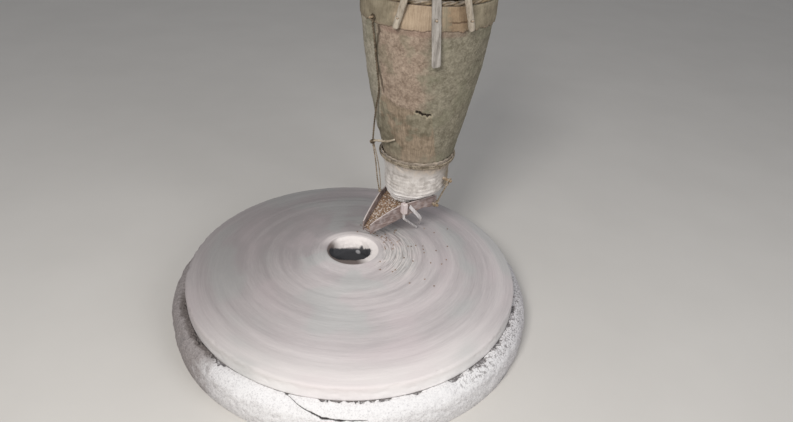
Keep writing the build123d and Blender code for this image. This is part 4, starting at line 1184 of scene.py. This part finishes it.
# %% Hopper: coat of mud
mud = RoundLook("mud_and_dung", HOPPER.x, HOPPER.y)
radius, east, north, level = mud.parts()
bearing = mud.bearing()
blotch = mud.noise(46, 6.0, 0.68)
daub = mud.noise(150, 5.0, 0.7)
wide_tint = mud.noise(15, 3.0, 0.55)
straw_bits = mud.wrapped(60, 420, 3.0, 0.6, 0.6)
middle_part = bearing.step(-146, -138) * (1 - (bearing + (wide_tint - 0.5) * 60).step(-104, -80))
left_part = (1 - bearing.step(-146, -138)) * 0.8
dark_mud = mud.mix(middle_part, paint(98, 92, 77), paint(112, 96, 82))
dark_mud = mud.mix(left_part, dark_mud, paint(118, 112, 97))
light_mud = mud.mix(middle_part, paint(152, 145, 128), paint(176, 158, 141))
light_mud = mud.mix(left_part, light_mud, paint(184, 176, 160))
grain_of_mud = blotch.step(0.28, 0.72) * 0.50 + daub.step(0.32, 0.68) * 0.50
under_band = level.step(0.790, 0.800) * bearing.step(-140, -132) * (1 - bearing.step(-66, -56))
mud.colour = mud.mix(grain_of_mud, dark_mud, light_mud)
mud.over(straw_bits.step(0.62, 0.74) * 0.35, paint(178, 168, 148))
mud.over(wide_tint.step(0.52, 0.62) * 0.35, paint(120, 118, 98))
mud.over(under_band * 0.35, paint(146, 118, 106))
coat_colour = mud.colour

# %% Hopper: bare basket below the coat
upright = mud.wrapped(70, 30, 4.0, 0.65, 0.5)
bare_share = upright.step(0.34, 0.66) * 0.45 + blotch.step(0.30, 0.68) * 0.55
green_patch = (wide_tint + bearing.step(-112, -132) * 0.10).step(0.53, 0.60) * 0.6
green = mud.mix(blotch.step(0.3, 0.7), paint(96, 94, 78), paint(138, 136, 118))
floury_neck = (level + (blotch - 0.5) * 0.06).step(0.480, 0.425)
mud.colour = mud.mix(bare_share, paint(100, 88, 72), paint(164, 147, 127))
mud.over(green_patch, green)
mud.over(floury_neck * 0.55, paint(172, 156, 138))
bare_colour = mud.colour

# %% [markdown]
# The mask that the mesh carries now lays the coat over the basket. A pale lip follows the coat's edge, the
# slot is painted dark as shade, with a crumbled rim, and a thin line of painted shade follows the step of
# the older patch.

# %% Hopper: coat over basket, slot and step
coat, pit = mud.value("coat"), mud.value("pit")
under_edge = coat.step(0.05, 0.35) * (1 - coat.step(0.45, 0.8)) * level.step(0.56, 0.585)
ragged_pit = pit * (0.35 + daub.step(0.35, 0.62) * 1.0)
pit_rim = pit.step(0.01, 0.12) * (1 - ragged_pit.step(0.10, 0.30))
mud.colour = mud.mix(coat, bare_colour, coat_colour)
mud.over(under_edge * 0.4, paint(176, 162, 140))
mud.over(pit_rim * 0.5, paint(186, 172, 148))
# Painted shade in the slot.
mud.over(ragged_pit.step(0.20, 0.60), paint(46, 38, 33))
# Painted shade along the step of the older patch.
mud.over(mud.value("step_shade").step(0.25, 0.85) * 0.8, paint(72, 63, 52))

# %% Hopper: inside and finish
# Painted shade: the inside of the hopper is darker than the outside.
painted_inside_shade = mud.mix(daub.step(0.35, 0.6), paint(70, 58, 44), paint(110, 94, 74))
outward = mud.facing((1, 0, 0)) * east + mud.facing((0, 1, 0)) * north
mud.colour = mud.mix(outward.step(-0.3, 0.1), painted_inside_shade, mud.colour)
hopper_look = mud.done(0.93, [(daub, 0.0024), (blotch, 0.0016), (straw_bits, 0.0007)],
                       Specular_IOR_Level=0.15)
hopper = add_mesh("hopper_daubed", hopper_points, hopper_faces, hopper_look, "stand", "basket_mud")
carry(hopper, "coat", coat_values)
carry(hopper, "pit", pit_values)
carry(hopper, "step_shade", step_shade_values)
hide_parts("hopper_basket")

# %% [markdown]
# ## Rope
# Twisted cord could be a texture on a smooth tube, but its outline gives that away. Two thin
# tubes that wind round each other along the path show the twist from every side. All cords are
# the same hemp and differ only in age and in how much flour they hold, so one recipe paints them.

# %% Rope: look
def cord_look(name, dark, light, gap, gap_share=0.4, blotches=80, rise=(0.35, 0.65)):
    """Hemp in two tones, with dark gaps between its hairs."""
    look = Look(name)
    hairs = look.noise(1400, 3.0, 0.7)
    look.colour = look.mix(look.noise(blotches, 4.0).step(*rise), dark, light)
    look.over((1 - hairs.step(0.35, 0.5)) * gap_share, gap)
    return look.done(0.95, [(hairs, 0.0004)], Specular_IOR_Level=0.1)


hemp = cord_look("hemp_cord", paint(122, 108, 90), paint(176, 162, 144), paint(84, 72, 58))

# %% Rope: strands and knots
STRANDS, STRAND_SIDES = 2, 7


def strand_points(path, radius, pitch=0.015):
    """Strands wound round a path; radius is that of the whole cord, pitch one full turn."""
    thin = radius * 0.52
    parts, run = [], 0.0
    sums = [0.0]
    for a, b in zip(path, path[1:]):
        run += (b - a).length
        sums.append(run)
    for k in range(STRANDS):
        line = []
        for s, p, (side, up) in zip(sums, path, frames_along(path)):
            a = 2 * math.pi * (s / pitch + k / STRANDS)
            line.append(p + (side * math.cos(a) + up * math.sin(a)) * (radius - thin))
        parts.append(tube_points(line, thin, STRAND_SIDES))
    return gather(parts)


def knot_points(middle, direction, radius, size):
    """A small overhand knot: one turn of cord pulled tight round a line."""
    direction = Vector(direction).normalized()
    side = direction.orthogonal().normalized()
    up = direction.cross(side)
    path = [Vector(middle) + side * math.cos(t) * size + up * math.sin(t) * size
            + direction * (t - 4.2) * radius * 0.55 for t in np.linspace(0, 8.4, 34)]
    return strand_points(path, radius, pitch=0.011)


# %% [markdown]
# ## The rim
# A hoop of three twisted withies edges the mouth of the hopper. Each withy is a ring that winds
# round the hoop's middle line, a third of a turn after the one before, so they never cut through
# each other.

# %% Hoop
HOOP_R, HOOP_Z, HOOP_TURNS = 0.1593, 0.872, 14
WITHIES, WITHY_R, WITHY_OFF, WITHY_LUMPS = 3, 0.0031, 0.0028, 0.3
HOOP_STEPS, HOOP_SIDES = 300, 8
withy = wood_look("peeled_withy", (0.7, 0.7, 0), paint(92, 78, 60), paint(140, 122, 96), 0.25)


def ring_strand(phase):
    """One closed withy that winds round the hoop's middle line."""
    points = []
    for i in range(HOOP_STEPS):
        d = 360 * i / HOOP_STEPS
        a = math.radians(d)
        out = Vector((math.cos(a), math.sin(a), 0))
        w = a * HOOP_TURNS + phase
        middle = round_hopper(d, HOOP_R, HOOP_Z) + out * math.cos(w) * WITHY_OFF
        middle += Vector((0, 0, math.sin(w) * WITHY_OFF))
        thick = WITHY_R * (1 + WITHY_LUMPS * round_noise(a, 9, phase))
        for k in range(HOOP_SIDES):
            b = 2 * math.pi * k / HOOP_SIDES
            points.append(middle + (out * math.cos(b) + UP * math.sin(b)) * thick)
    faces = [(p, s, r, q) for p, q, r, s in ring_quilt(HOOP_STEPS, HOOP_SIDES)]  # to face outwards
    return points, faces


withies = [ring_strand(k * 2 * math.pi / WITHIES) for k in range(WITHIES)]
hoop = add_mesh("rim_hoop_withies", *gather(withies), withy, "stand", "hoop_withy")
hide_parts("rim_hoop")

# %% [markdown]
# A pale band of straw cloth is wrapped round the mouth below the hoop. Its fibres run up and down
# and end in a ragged lower edge. It is clean at the front, reddish with a sewn seam to the right
# of that, and soiled everywhere else.

# %% Straw band: look
straw = RoundLook("straw_cloth", HOPPER.x, HOPPER.y)
radius, east, north, level = straw.parts()
stems = straw.wrapped(150, 26, 5.0, 0.65, 0.8)
soil = straw.noise(34, 6.0, 0.65)


def straw_tone(stem_share, dark, light):
    """Two tones of straw, parted by its stems and by its soil."""
    share = stems.step(0.30, 0.66) * stem_share + soil.step(0.3, 0.7) * (1 - stem_share)
    return straw.mix(share, dark, light)


ragged_bearing = straw.bearing() + (soil - 0.5) * 26
clean = ragged_bearing.step(-128, -114) * (1 - ragged_bearing.step(-88, -81))
tinted = ragged_bearing.step(-82, -77) * (1 - ragged_bearing.step(-66, -58))
seam = (1 - (level - 0.831 + (soil - 0.5) * 0.012).size().step(0.0008, 0.0030)) * tinted
straw.colour = straw_tone(0.4, paint(104, 94, 77), paint(150, 140, 120))
straw.over(clean, straw_tone(0.6, paint(136, 117, 97), paint(180, 161, 138)))
straw.over(tinted, straw_tone(0.5, paint(116, 97, 78), paint(156, 136, 111)))
straw.over(seam * 0.8, paint(84, 66, 52))
straw.over((1 - level.step(0.806, 0.816)) * 0.5, paint(140, 116, 102))
straw_look = straw.done(0.9, [(stems, 0.0009), (soil, 0.0016)], Specular_IOR_Level=0.2)

# %% Straw band: mesh
BAND_COLUMNS, BAND_ROWS = 600, 26
BAND_R, BAND_INNER_R = 0.1690, 0.1652


def band_point(degrees, v, inner):
    """A point of the band, v from 0 at its ragged foot to 1 at its top."""
    a = math.radians(degrees)
    x, y = math.cos(a), math.sin(a)
    ragged = 0.005 * round_noise(a, 9, 0) + 0.0025 * round_noise(a, 50, 1) + 0.001
    foot = BAND_FOOT + 0.003 - ragged
    z = foot + (HOPPER_TOP + 0.0005 - foot) * v
    fold = abs(round_noise(a, 55, z * 14)) * 0.0009 + bumpy((x * BAND_R, y * BAND_R, z), 0.02, 3) * 0.0006
    outer = BAND_R - 0.0009 - fold - 0.0012 * (1 - ease(v, 0, 0.2))
    return round_hopper(degrees, BAND_INNER_R if inner else outer, z)


band_points = there_and_back(band_point, BAND_ROWS, BAND_COLUMNS)
band = add_mesh("rim_band_straw", band_points, ring_quilt(2 * BAND_ROWS, BAND_COLUMNS), straw_look,
                "stand", "rim_straw")
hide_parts("rim_band")

# %% [markdown]
# ## The cloth sleeve
# The sleeve is one piece of cotton sewn into a tube, tied round the neck and hanging in a loose bag that
# narrows to a spout. It is floury at the spout and grimy near the top, and painted shade, turning tan at its
# far edge, darkens its right side.

# %% Sleeve: look
cotton = RoundLook("floury_cotton", HOPPER.x, HOPPER.y)
radius, east, north, level = cotton.parts()
weave = cotton.noise(1500, 2.0, 0.6)
cake = cotton.noise(60, 5.0, 0.66)
# Painted shade on the right of the sleeve, turning tan at its far edge.
shaded_right_flank = (east + north * 0.35).step(0.25, 0.85)
tan_shade_edge = (east - (cake - 0.5) * 0.4).step(0.78, 0.95)
spout_flour = 1 - level.step(0.305, 0.350)
grime = (level + (cake - 0.5) * 0.07 + east * 0.012).step(0.392, 0.428)
grimy = cotton.mix(cake.step(0.35, 0.65), paint(118, 106, 90), paint(172, 156, 138))
cotton.colour = cotton.mix(cake.step(0.30, 0.66), paint(170, 163, 156), paint(209, 203, 197))
cotton.over(shaded_right_flank * 0.85, paint(128, 119, 109))
cotton.over(tan_shade_edge * 0.6, paint(140, 124, 98))
cotton.over(spout_flour * 0.9, paint(240, 236, 233))
cotton.over(grime * 0.85, grimy)
sleeve_look = cotton.done(0.95, [(weave, 0.0003), (cake, 0.0022)],
                          Specular_IOR_Level=0.1, Sheen_Weight=0.15)


# %% [markdown]
# Cloth on a slant falls into creases that run round it like sagging hoops, lower on the side where
# the spout is. A simulation would settle in some other shape than the real one, so the creases are
# written as waves across the tube whose depth grows down the bag.

# %% Sleeve: course of the tube
SLEEVE = [  # middle x and y, height, radius
    (0.172, 0.147, 0.442, 0.1028), (0.172, 0.147, 0.414, 0.0962), (0.172, 0.147, 0.385, 0.0890),
    (0.172, 0.147, 0.360, 0.0892), (0.172, 0.147, 0.340, 0.0890), (0.1665, 0.1445, 0.326, 0.0815),
    (0.1550, 0.1390, 0.3140, 0.0640), (0.1465, 0.1340, 0.3045, 0.0470), (0.145, 0.133, 0.2935, 0.0385),
]


def sleeve_middle(v):
    """Middle, height and radius of the sleeve, v from 0 at the top to 1 at the hem."""
    k = v * (len(SLEEVE) - 1)
    i = min(int(k), len(SLEEVE) - 2)
    t = k - i
    return [p + (q - p) * t for p, q in zip(SLEEVE[i], SLEEVE[i + 1])]


# %% Sleeve: creases and mesh
SLEEVE_COLUMNS, SLEEVE_ROWS = 220, 98
CLOTH_T, CLOTH_IN, GATHERS, CREASE_GAP, FINE_GAP = 0.0016, 0.0016, 34, 0.0120, 0.0068
SLANT_WAY = math.radians(-125)


def sleeve_creases(v, z, a):
    """Height of the sagging creases, and of the loose pleats that cross them."""
    slant = z + 0.016 * math.cos(a - SLANT_WAY) + 0.004 * round_noise(a, 2.4, v * 2)
    crease = math.sin(slant * 2 * math.pi / CREASE_GAP + 2.6 * round_noise(a, 1.3, v * 3))
    crease += 0.5 * math.sin(slant * 2 * math.pi / FINE_GAP + 3.0 * round_noise(a, 2, v * 4 + 3))
    crease *= clamp01(0.50 + 0.9 * noise.noise((math.cos(a) * 2.2 + 5, math.sin(a) * 2.2, v * 6)))
    return crease * 0.0014 + round_noise(a, 5, v * 2.5) * 0.0026 * 0.8


def sleeve_point(degrees, v, inner):
    """A point of the sleeve: its course, with creases, a fold, a slump and gathers at the top."""
    x, y, z, r = sleeve_middle(v)
    a, d = math.radians(degrees), signed(degrees)
    loose = ease(v, 0.12, 0.45) * (1 - 0.55 * ease(v, 0.88, 1.0))
    fold_z = 0.428 - 0.018 * (d + 140) / 20
    tuck = math.exp(-((z - fold_z) / 0.0030) ** 2) * (1 - ease(abs(d + 130), 9, 16))
    slump = 0.0055 * math.exp(-((d - 14) / 30) ** 2) * ease(z, 0.308, 0.335)
    slump *= 1 - ease(z, 0.375, 0.410)
    gathered = 0.0012 * math.sin(a * GATHERS + 3 * round_noise(a, 3, 1)) * (1 - ease(v, 0.04, 0.22))
    r += loose * (sleeve_creases(v, z, a) - 0.0006) - CLOTH_IN - tuck * 0.0030 + slump + gathered
    hem = 0.0035 * round_noise(a, 3, 9) * ease(v, 0.85, 1.0)
    top = 0.002 * round_noise(a, 4, 3) * (1 - ease(v, 0, 0.1))
    if inner:
        r -= CLOTH_T
    return Vector((x + r * math.cos(a), y + r * math.sin(a), z + hem + top))


sleeve_points = there_and_back(sleeve_point, SLEEVE_ROWS, SLEEVE_COLUMNS)
sleeve_faces = [face[::-1] for face in ring_quilt(2 * SLEEVE_ROWS, SLEEVE_COLUMNS)]
sleeve = add_mesh("sleeve_cotton", sleeve_points, sleeve_faces, sleeve_look, "stand", "sleeve_cloth")
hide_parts("hopper_sleeve")

# %% [markdown]
# Two turns of cord hold the sleeve on the neck, over its gathers, and end in one knot.

# %% Binding
BINDING_TURNS = [(0.1034, 0.433), (0.1021, 0.427)]  # radius and height
floury_cord = cord_look("floury_cord", paint(108, 98, 83), paint(160, 148, 131), paint(104, 92, 78),
                        0.25, 70, (0.36, 0.62))
binding_parts = []
for turn_r, z in BINDING_TURNS:
    loop = [round_hopper(d, turn_r, z + 0.0012 * math.sin(math.radians(d) * 2))
            for d in np.linspace(0, 360, 420)]
    binding_parts.append(strand_points(loop, 0.0026, pitch=0.0148))
knot_at, knot_way = round_hopper(-60, 0.1068, 0.430), round_hopper(30, 1, 0) - HOPPER
binding_parts.append(knot_points(knot_at, knot_way, 0.0022, 0.0042))
binding = add_mesh("sleeve_binding_cord", *gather(binding_parts), floury_cord, "stand", "cord")
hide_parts("sleeve_binding")

# %% [markdown]
# ## Cords of the shoe
# A long cord comes down from a peg in the rim, is tied round a twig, and goes on to the left board
# of the shoe. Turning the twig shortens the cord and lifts the shoe's tip, which feeds less grain.
# The twig is a tube whose radius swells at two knots, each with the stub of a side shoot.

# %% Twig
TWIG_TIP_AT = round_hopper(197.9, 0.1383, 0.475)
TWIG_REST_AT = round_hopper(230.3, 0.1178, 0.503)
TWIG_STEPS, LOW_KNOT, HIGH_KNOT = 40, 0.36, 0.70
twig_way = (TWIG_REST_AT - TWIG_TIP_AT).normalized()
twig_length = (TWIG_REST_AT - TWIG_TIP_AT).length + 0.007
twig_dry = wood_look("dry_twig", twig_way, paint(142, 128, 108), paint(196, 184, 164), 0.3)
twig_path = [TWIG_TIP_AT + twig_way * (twig_length * t) + Vector((0, 0, 0.0022 * math.sin(t * 7.0)))
             for t in np.linspace(0, 1, TWIG_STEPS)]


def twig_size(i, angle):
    """Radius of the twig, which gets thinner and swells at its two knots."""
    t = i / (TWIG_STEPS - 1)
    knot = 0.0010 * math.exp(-((t - LOW_KNOT) / 0.035) ** 2)
    knot += 0.0008 * math.exp(-((t - HIGH_KNOT) / 0.03) ** 2)
    return (0.0031 - 0.0009 * t + knot) * (1 + 0.10 * round_noise(angle, 2, t * 14))


twig_parts = [tube_points(twig_path, twig_size, 10)]
for t, lean in ((LOW_KNOT, 0.006), (HIGH_KNOT, -0.005)):
    root = twig_path[int(t * (TWIG_STEPS - 1))]
    spur = [root, root + Vector((lean, -0.004, 0.003)), root + Vector((lean * 1.5, -0.006, 0.007))]
    twig_parts.append(tube_points(spur, lambda i, angle: 0.0013 - 0.0004 * i, 7))
twig = add_mesh("twist_twig_bark", *gather(twig_parts), twig_dry, "stand", "twig_bark")
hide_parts("twist_twig")

# %% [markdown]
# The upper cord is old and dark. It hangs from a loop on its peg, follows the side of the hopper
# down, and ends in four turns round the twig.

# %% Upper cord
CORD_R, CORD_AZ, CORD_STEP, TWIG_TURNS = 0.0026, 217.0, 0.0013, 4
cord_on_twig = TWIG_TIP_AT + twig_way * 0.009
upper_route = [round_hopper(CORD_AZ, 0.1721, 0.816), round_hopper(CORD_AZ, 0.1718, 0.806),
               round_hopper(CORD_AZ, 0.1640, 0.765), round_hopper(CORD_AZ, 0.1560, 0.710),
               round_hopper(CORD_AZ, 0.1452, 0.642), round_hopper(212.0, 0.1420, 0.590),
               round_hopper(207.0, 0.1385, 0.540), cord_on_twig + Vector((0, 0, 0.0058))]
old_cord = cord_look("old_dark_cord", paint(78, 68, 56), paint(126, 112, 94), paint(40, 34, 28),
                     blotches=90, rise=(0.35, 0.68))
upper_parts = [strand_points(resample(upper_route, CORD_STEP), CORD_R)]
peg_at = round_hopper(CORD_AZ, 0.1721, 0.822)
side = Vector((-math.sin(math.radians(CORD_AZ)), math.cos(math.radians(CORD_AZ)), 0))
peg_loop = [peg_at + (side * math.cos(t) + UP * math.sin(t)) * 0.0058 for t in np.linspace(-1.57, 4.71, 40)]
upper_parts.append(strand_points(peg_loop, 0.0024, pitch=0.0121))
level_way = twig_way.cross(UP).normalized()
turns = [cord_on_twig + twig_way * (-0.004 + 0.0088 * t / TWIG_TURNS)
         + (UP * math.cos(2 * math.pi * t) + level_way * math.sin(2 * math.pi * t)) * 0.0050
         for t in np.linspace(0, TWIG_TURNS, 90)]
upper_parts.append(strand_points(turns, 0.0018, pitch=0.009))
upper_cord = add_mesh("upper_cord_twist", *gather(upper_parts), old_cord, "stand", "cord")
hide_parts("upper_cord")

# %% [markdown]
# The lower cord crosses from the still hopper to the shaking shoe.
# It is a doubled cord, tied off above the left board.

# %% Lower cord
FOOT_S = 0.100
foot_w = TIP_HALF + FOOT_S * math.tan(math.radians(LEFT_FLARE)) - 0.002
cord_foot = shoe_point(FOOT_S, foot_w, SIDE_TOP_Z + 0.0005)
cord_head = cord_on_twig - Vector((0, 0, 0.0045))
lower_path = resample([cord_head, cord_head.lerp(cord_foot, 0.35) + Vector((0.0012, 0, 0)),
                       cord_head.lerp(cord_foot, 0.7) - Vector((0.0010, 0, 0)), cord_foot], CORD_STEP)
second_path = resample([cord_head + Vector((0.003, 0.001, 0)),
                        cord_head.lerp(cord_foot, 0.4) + Vector((0.0075, 0.002, 0)),
                        cord_head.lerp(cord_foot, 0.75) + Vector((0.0062, 0.001, 0)),
                        cord_foot + Vector((0.002, 0.002, 0.001))], CORD_STEP)
foot_knot = knot_points(cord_foot + Vector((0, 0, 0.0065)), UP, 0.0020, 0.0034)
lower_parts = [strand_points(lower_path, 0.0022), strand_points(second_path, 0.0017, pitch=0.011), foot_knot]
lower_cord = add_mesh("lower_cord_twist", *gather(lower_parts), hemp, None, "cord")
tuple(cord_foot + Vector((0, 0, 0.012)))
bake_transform(lower_cord)
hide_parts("lower_cord")

# %% [markdown]
# At its back the shoe hangs by two short cords, each looped over a peg in the neck above and over
# the shoe's pin below. Each is drawn as an open loop of cord with a seizing near both ends.

# %% Hanger cords
NECK_PEG_Z, LOOP_R, NECK_FROM, PIN_CLEAR = 0.372, 0.0066, 0.0145, 0.003
LEFT_W = TIP_HALF + PIN_S * math.tan(math.radians(LEFT_FLARE)) + BOARD_T + PIN_CLEAR
RIGHT_W = -(TIP_HALF + PIN_S * math.tan(math.radians(RIGHT_FLARE)) + BOARD_T + PIN_CLEAR)


def eye_points(middle, way):
    """A loop of cord round a pin, open towards way, with a seizing where its ends meet."""
    bend = [middle + (ALONG * math.cos(t) - way * math.sin(t)) * LOOP_R
            for t in np.linspace(-0.75, math.pi + 0.75, 30)]
    neck = middle + way * NECK_FROM
    route = [neck + ALONG * 0.0016, bend[0], *bend[3:-3:4], bend[-1], neck - ALONG * 0.0016]
    ring = [neck + (ALONG * math.cos(t) + ACROSS * math.sin(t)) * 0.0040 + way * (t - 9) * 0.00045
            for t in np.linspace(0, 18, 70)]
    return [strand_points(resample(route, 0.0012), 0.0021, pitch=0.012), tube_points(ring, 0.0008, 6)]


def hanger_points(low_w, high_w):
    """A hanger from the shoe's pin to the neck's peg, given how far left each of its ends is."""
    low, high = shoe_point(PIN_S, low_w, PIN_Z), shoe_point(PIN_S, high_w, NECK_PEG_Z)
    way = (high - low).normalized()
    span = resample([low + way * 0.012, low.lerp(high, 0.5), high - way * 0.012], CORD_STEP)
    return gather([*eye_points(low, way), *eye_points(high, -way), strand_points(span, 0.0026)])


for name, low_w, high_w in (("left_hanger", LEFT_W, LEFT_W), ("right_hanger", RIGHT_W, RIGHT_W - 0.038)):
    hanger = add_mesh(name + "_cord", *hanger_points(low_w, high_w), hemp, "stand", "cord")
    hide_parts(name)


# %% [markdown]
# ## Grain
# Wheat lies in the shoe from the spout to the tip, a few layers deep. A bumpy brown sheet alone
# looks like soil, so several hundred separate grains lie on it, each a small pointed egg with its
# groove, turned at random but the same in every run. More grains have jumped out on the stone.

# %% Grain: one grain and its look
GRAIN_SIDES, GRAIN_ROWS, GRAIN_WIDTH = 8, 5, 0.0031
GRAIN_POINTS = GRAIN_SIDES * GRAIN_ROWS + 2
GRAIN_LENGTHS = (0.0056, 0.0070)

wheat = Look("wheat")
husk = wheat.noise(320, 3.0)
own = wheat.value("own_tone")
wheat.colour = wheat.mix(husk.step(0.36, 0.64) * 0.4 + own * 0.6, paint(86, 64, 50), paint(192, 162, 134))
wheat.over(own.step(0.55, 0.85) * 0.8, paint(214, 206, 200))
wheat_look = wheat.done(0.62, [(wheat.noise(2600, 2.0), 0.0001)], Specular_IOR_Level=0.35)


def grain_points(place, way, up, length):
    """One grain: a small egg with a groove along its belly."""
    way, up = way.normalized(), up.normalized()
    side = way.cross(up).normalized()
    up = side.cross(way)
    points = [place - way * length / 2]
    for i in range(1, GRAIN_ROWS + 1):
        t = i / (GRAIN_ROWS + 1)
        swell = math.sin(math.pi * t) ** 0.7
        for k in range(GRAIN_SIDES):
            a = 2 * math.pi * k / GRAIN_SIDES
            r = GRAIN_WIDTH / 2 * swell * (0.72 if k == 2 else 1.0)
            round_it = (side * math.cos(a) + up * math.sin(a) * 0.9) * r
            points.append(place + way * (t - 0.5) * length + round_it)
    points.append(place + way * length / 2)
    return points, capped_quilt(GRAIN_ROWS, GRAIN_SIDES)


# %% Grain: the heap in the shoe
HEAP_ROWS, HEAP_COLUMNS, HEAP_FROM, HEAP_LENGTH = 60, 26, 0.004, 0.172
HEAP_HALF, HEAP_FLARE = 0.009, 17.7
SPOUT_MOUTH_Z, SPOUT_ROOM = SLEEVE[-1][2], 0.0100


def heap_top(s, w):
    """Depth of the grain on the shoe's floor; it ends a little below the mouth of the spout."""
    depth = 0.006 + 0.013 * ease(s, 0.01, 0.12) + 0.004 * ease(s, 0.09, 0.14)
    half = HEAP_HALF + s * math.tan(math.radians(HEAP_FLARE))
    depth = depth * (1 - 0.35 * abs(w / half) ** 2) + 0.0012 * noise.noise((s * 90, w * 90, 0))
    return max(0.002, min(depth, SPOUT_MOUTH_Z - SPOUT_ROOM - floor_top(s)))


def half_inside(s, side):
    """Room from the shoe's middle line to the board on one side, + for the left one."""
    return TIP_HALF + s * math.tan(math.radians(LEFT_FLARE if side > 0 else RIGHT_FLARE)) - 0.0046


heap_points = []
for i in range(HEAP_ROWS):
    s = HEAP_FROM + HEAP_LENGTH * i / (HEAP_ROWS - 1)
    for j in range(HEAP_COLUMNS):
        t = 2 * j / (HEAP_COLUMNS - 1) - 1
        w = t * half_inside(s, t)
        heap_points.append(shoe_point(s, w, floor_top(s) + heap_top(s, w) * ease(i, -1, 2)))
heap_faces = quilt(HEAP_ROWS, HEAP_COLUMNS, closed=False)
heap = add_mesh("grain_bed", heap_points, heap_faces, wheat_look, "shoe", "shoe_board")

# %% [markdown]
# Each grain needs a place, a direction and a tone. All are drawn from one row of dice with a fixed
# start, so the order of the draws decides how the grains lie.

# %% Grain: grains on the heap
GRAINS_IN_SHOE = 760
dice = random.Random(11)


def any_length():
    """The length of the next grain."""
    return dice.uniform(*GRAIN_LENGTHS)


grain_parts = []
for _ in range(GRAINS_IN_SHOE):
    s = 0.002 + 0.150 * dice.random() ** 0.85
    t = dice.uniform(-1, 1)
    w = t * (half_inside(s, t) - 0.003)
    turn = dice.uniform(0, math.pi)
    tilt = dice.uniform(-0.35, 0.35)
    rise = Vector((0, 0, math.tan(SLOPE) * math.cos(turn) + tilt))
    way = ALONG * math.cos(turn) + ACROSS * math.sin(turn) + rise
    place = shoe_point(s, w, floor_top(s) + heap_top(s, w) + dice.uniform(-0.0004, 0.0012))
    upwards = Vector((dice.uniform(-0.4, 0.4), dice.uniform(-0.4, 0.4), 1))
    grain_parts.append(grain_points(place, way, upwards, any_length()))
grains_in_shoe = add_mesh("grain_in_shoe", *gather(grain_parts), wheat_look, "shoe", "shoe_board")
carry(grains_in_shoe, "own_tone", [tone for _ in grain_parts for tone in [dice.random()] * GRAIN_POINTS])
carry(heap, "own_tone", [dice.uniform(0.0, 0.6) for _ in heap_points])

# %% Grain: grains on the stone
LOOSE_GRAINS = 48
loose_parts = []
for _ in range(LOOSE_GRAINS):
    a = math.radians(dice.gauss(8, 34))
    r = 0.085 + abs(dice.gauss(0.0, 0.085))
    x, y = r * math.cos(a), r * math.sin(a)
    way = Vector((-math.sin(a), math.cos(a), 0))
    way = way + Vector((dice.uniform(-0.5, 0.5), dice.uniform(-0.5, 0.5), 0))
    place = Vector((x, y, stone_top(r) + 0.0006))
    loose_parts.append(grain_points(place, way, UP, any_length()))
loose_grain = add_mesh("grain_on_stone", *gather(loose_parts), wheat_look, "runner", "runner_stone")
loose_tones = [tone for _ in loose_parts for tone in [dice.uniform(0.1, 0.7)] * GRAIN_POINTS]
carry(loose_grain, "own_tone", loose_tones)
